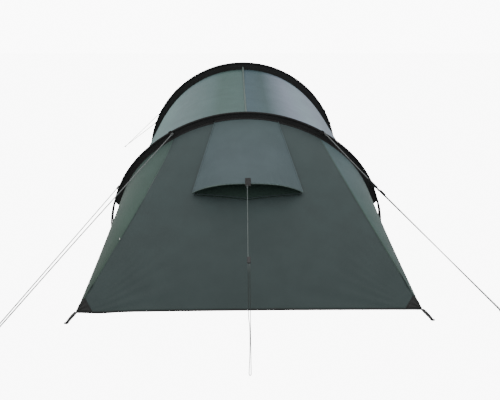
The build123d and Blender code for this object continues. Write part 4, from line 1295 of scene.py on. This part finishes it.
def tray():
    """The waterproof tray: a floor with upright walls and rounded corners."""
    corner = 0.03
    outline = []
    for cx, cy, first in ((1, 1, 0), (-1, 1, 90), (-1, -1, 180), (1, -1, 270)):
        y = inner_high.y - corner if cy > 0 else inner_low.y + corner
        centre = Vector(((inner_high.x - corner) * cx, y, 0))
        for angle in np.radians(np.linspace(first, first + 90, 9)):
            outline.append((centre, Vector((cos(angle), sin(angle), 0))))
    fine = []
    for k, (centre, out) in enumerate(outline):
        after_centre, after_out = outline[(k + 1) % len(outline)]
        count = 24 if (after_centre - centre).length > 1e-6 else 1
        for j in range(count):
            fine.append((centre.lerp(after_centre, j / count), out.lerp(after_out, j / count).normalized()))
    rows = []
    for inset, height in ((0.0005, 0.0745), (0.0012, 0.055), (0.0008, 0.035), (0.001, 0.015), (0.004, 0.005),
                          (0.012, 0.0022), (0.030, 0.0018)):
        row = []
        for centre, out in fine:
            spot = centre + out * (corner - inset)
            wave = 0.002 * ripple((spot.x, spot.y, height), 0.12, 5) * (height / 0.075)
            row.append(Vector((spot.x, spot.y, height)) - out * abs(wave))
        rows.append(row)
    grid = as_grid(rows)
    across, along = grid.shape[:2]
    faces = [(i * along + j, i * along + k, (i + 1) * along + k, (i + 1) * along + j)
             for i in range(across - 1) for j, k in zip(range(along), [*range(1, along), 0])]
    faces.append(tuple((across - 1) * along + j for j in range(along)))
    mesh = new_mesh("tray_cloth", grid.reshape(-1, 3).tolist(), faces)
    mesh.uv_layers.new(name="UVMap")
    piece = link("tray_cloth", mesh)
    thicken(piece, TRAY_CLOTH)
    finish_piece(piece, "tray", smooth=False)
    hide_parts("groundsheet")


tray()


# ---------------- straps beside the bare pole ends
LEG_STRAP_WIDTH = 0.011
LEG_STRAP_OUT = 0.003
LEG_STRAP_ASIDE = 0.0068
LEG_STRAP_TOP = SLEEVE_FOOT_Z + 0.025
LEG_STRAP_FOOT = 0.012
for end, (hoop, way, _, _) in ENDS.items():
    for side, label in LABEL.items():
        line = []
        for share in even(40):
            station = mix(hoop.side_station(LEG_STRAP_TOP), LEG_STRAP_FOOT, share)
            spot, out = hoop.on_side(side, station, SLEEVE_RADIUS)
            slack = 0.006 * sin(pi * share)
            line.append(spot + out * (LEG_STRAP_OUT + slack) + Vector((0, way * LEG_STRAP_ASIDE, 0)))
        webbing_run(f"{end}_leg_strap_{label}", line, LEG_STRAP_WIDTH, (0, way, 0), 0.0022)


# ---------------- cords
GUY_LINES = {
    "guy_rear_left_lower": ((-0.865681, -0.8081, 0.4520), (-1.29673, -2.68181, 0.006035)),
    "guy_rear_left_upper": ((-0.504022, -0.8081, 0.813292), (-1.28804, -2.68329, 0.008304)),
    "guy_rear_right_lower": ((0.865681, -0.8081, 0.4520), (1.34931, -1.93617, 0.007875)),
    "guy_rear_right_upper": ((0.504022, -0.8081, 0.813292), (1.34052, -1.93885, 0.010342)),
    "guy_front_left_lower": ((-0.867165, 1.3731, 0.6090), (-1.56966, 3.66017, 0.006324)),
    "guy_front_left_upper": ((-0.803265, 1.3731, 0.723143), (-1.56295, 3.66045, 0.00697)),
}
# The upper rear lines leave their tabs off the middle, and are straight from above their runner's travel.
OFF_TAB = {"guy_rear_left_upper": ((-0.489, -0.8081, 0.8128), (0.50, 0.66)),
           "guy_rear_right_upper": ((0.520, -0.8081, 0.8120), (0.30, 0.40))}
KNOT_FROM_END = 0.014
KNOT_TURNS = 3
DOUBLED_RUN_SHARES = (0.302, 0.354)


def knot(name, spot, heading, paint, size=CORD_RADIUS):
    """A small knot: a few turns of the cord, close together."""
    heading = heading.normalized()
    side = heading.cross(UP).normalized()
    upward = side.cross(heading)
    line = []
    for k in even(64):
        turn = k * KNOT_TURNS * 2 * pi
        line.append(spot + heading * (4.3 * size * (k - 0.5) * 2)
                    + (side * cos(turn) + upward * sin(turn)) * 2 * size)
    return tube_mesh(name, line, 0.87 * size, paint, sides=8)


for name, (first, last) in GUY_LINES.items():
    start, finish = Vector(first), Vector(last)
    tab, shares = OFF_TAB.get(name, (first, (0.5,)))
    route = [tab, *(tuple(start.lerp(finish, share)) for share in shares), last]
    paint = "far_cord" if "front" in name else "cord"
    piece = cord_curve(name + "_cord", route, GUY_RADIUS)
    finish_piece(piece, paint)
    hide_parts(name)
    heading = (finish - start).normalized()
    extras = [knot(f"{name}_top_knot", Vector(tab) + heading * KNOT_FROM_END, heading, paint, GUY_KNOT),
              knot(f"{name}_low_knot", finish - heading * KNOT_FROM_END, heading, paint, GUY_KNOT)]
    # Partly painted shade: a thick dark tube stands for the doubled strand on this line and the shade along
    # it
    if name == "guy_rear_right_upper":
        steps = np.linspace(*DOUBLED_RUN_SHARES, 24)
        extras.append(tube_mesh("guy_doubled_run_shade", [start.lerp(finish, k) for k in steps],
                                [0.0068 + 0.0010 * sin(k * 900) for k in steps], "webbing",
                                slot="guy_cord"))

# Below its runner the line leans against its own returning strand, and parts from it again at the peg.
VENT_ROUTE = [(-0.0045, -1.33432, 0.573769), (-0.01457, -2.21644, 0.162656), (-0.0152, -2.27081, 0.137313),
              (-0.0099, -2.3010, 0.123234), (-0.0119, -2.4460, 0.055654), (-0.0183, -2.5427, 0.0106),
              (-0.0185, -2.559, 0.003), (-0.0095, -2.559, 0.003), (-0.0093, -2.5427, 0.0106),
              (-0.00208, -1.90992, 0.305507)]
vent_cord = cord_curve("vent_guy_cord", VENT_ROUTE)
finish_piece(vent_cord, "pale_cord")
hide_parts("vent_guy", "vent_guy_return")
vent_heading = (Vector(VENT_ROUTE[1]) - Vector(VENT_ROUTE[0])).normalized()
vent_knot = knot("vent_guy_top_knot", Vector(VENT_ROUTE[0]) + vent_heading * 0.010, vent_heading, "pale_cord")


# ---------------- finishes of the CAD nodes
CAD_PAINT = {
    "pole": [f"{end}_pole_{part}" for end in ENDS for part in ("right_leg", "arch", "left_leg")],
    "steel": ["rear_pole_ferrules", "front_pole_ferrules", "foot_pins", "foot_eyelets", "door_zip_slider"],
    "dark_steel": ["corner_rings"],
    "plastic": ["pole_tips", "guy_rings", "inner_toggles", "door_zip_pull", "vent_guy_runner",
                "rear_left_upper_runner", "rear_left_lower_runner", "rear_right_upper_runner",
                "rear_right_lower_runner"],
    "elastic": ["shock_cords"],
    "webbing": ["foot_webs", "guy_tabs", "vent_tab"],
}
for paint, names in CAD_PAINT.items():
    for name in names:
        node = bpy.data.objects[name]
        if not node.data.materials:
            node.data.materials.append(PAINT[paint])
        for material_slot in node.material_slots:
            material_slot.link = "OBJECT"
            material_slot.material = PAINT[paint]
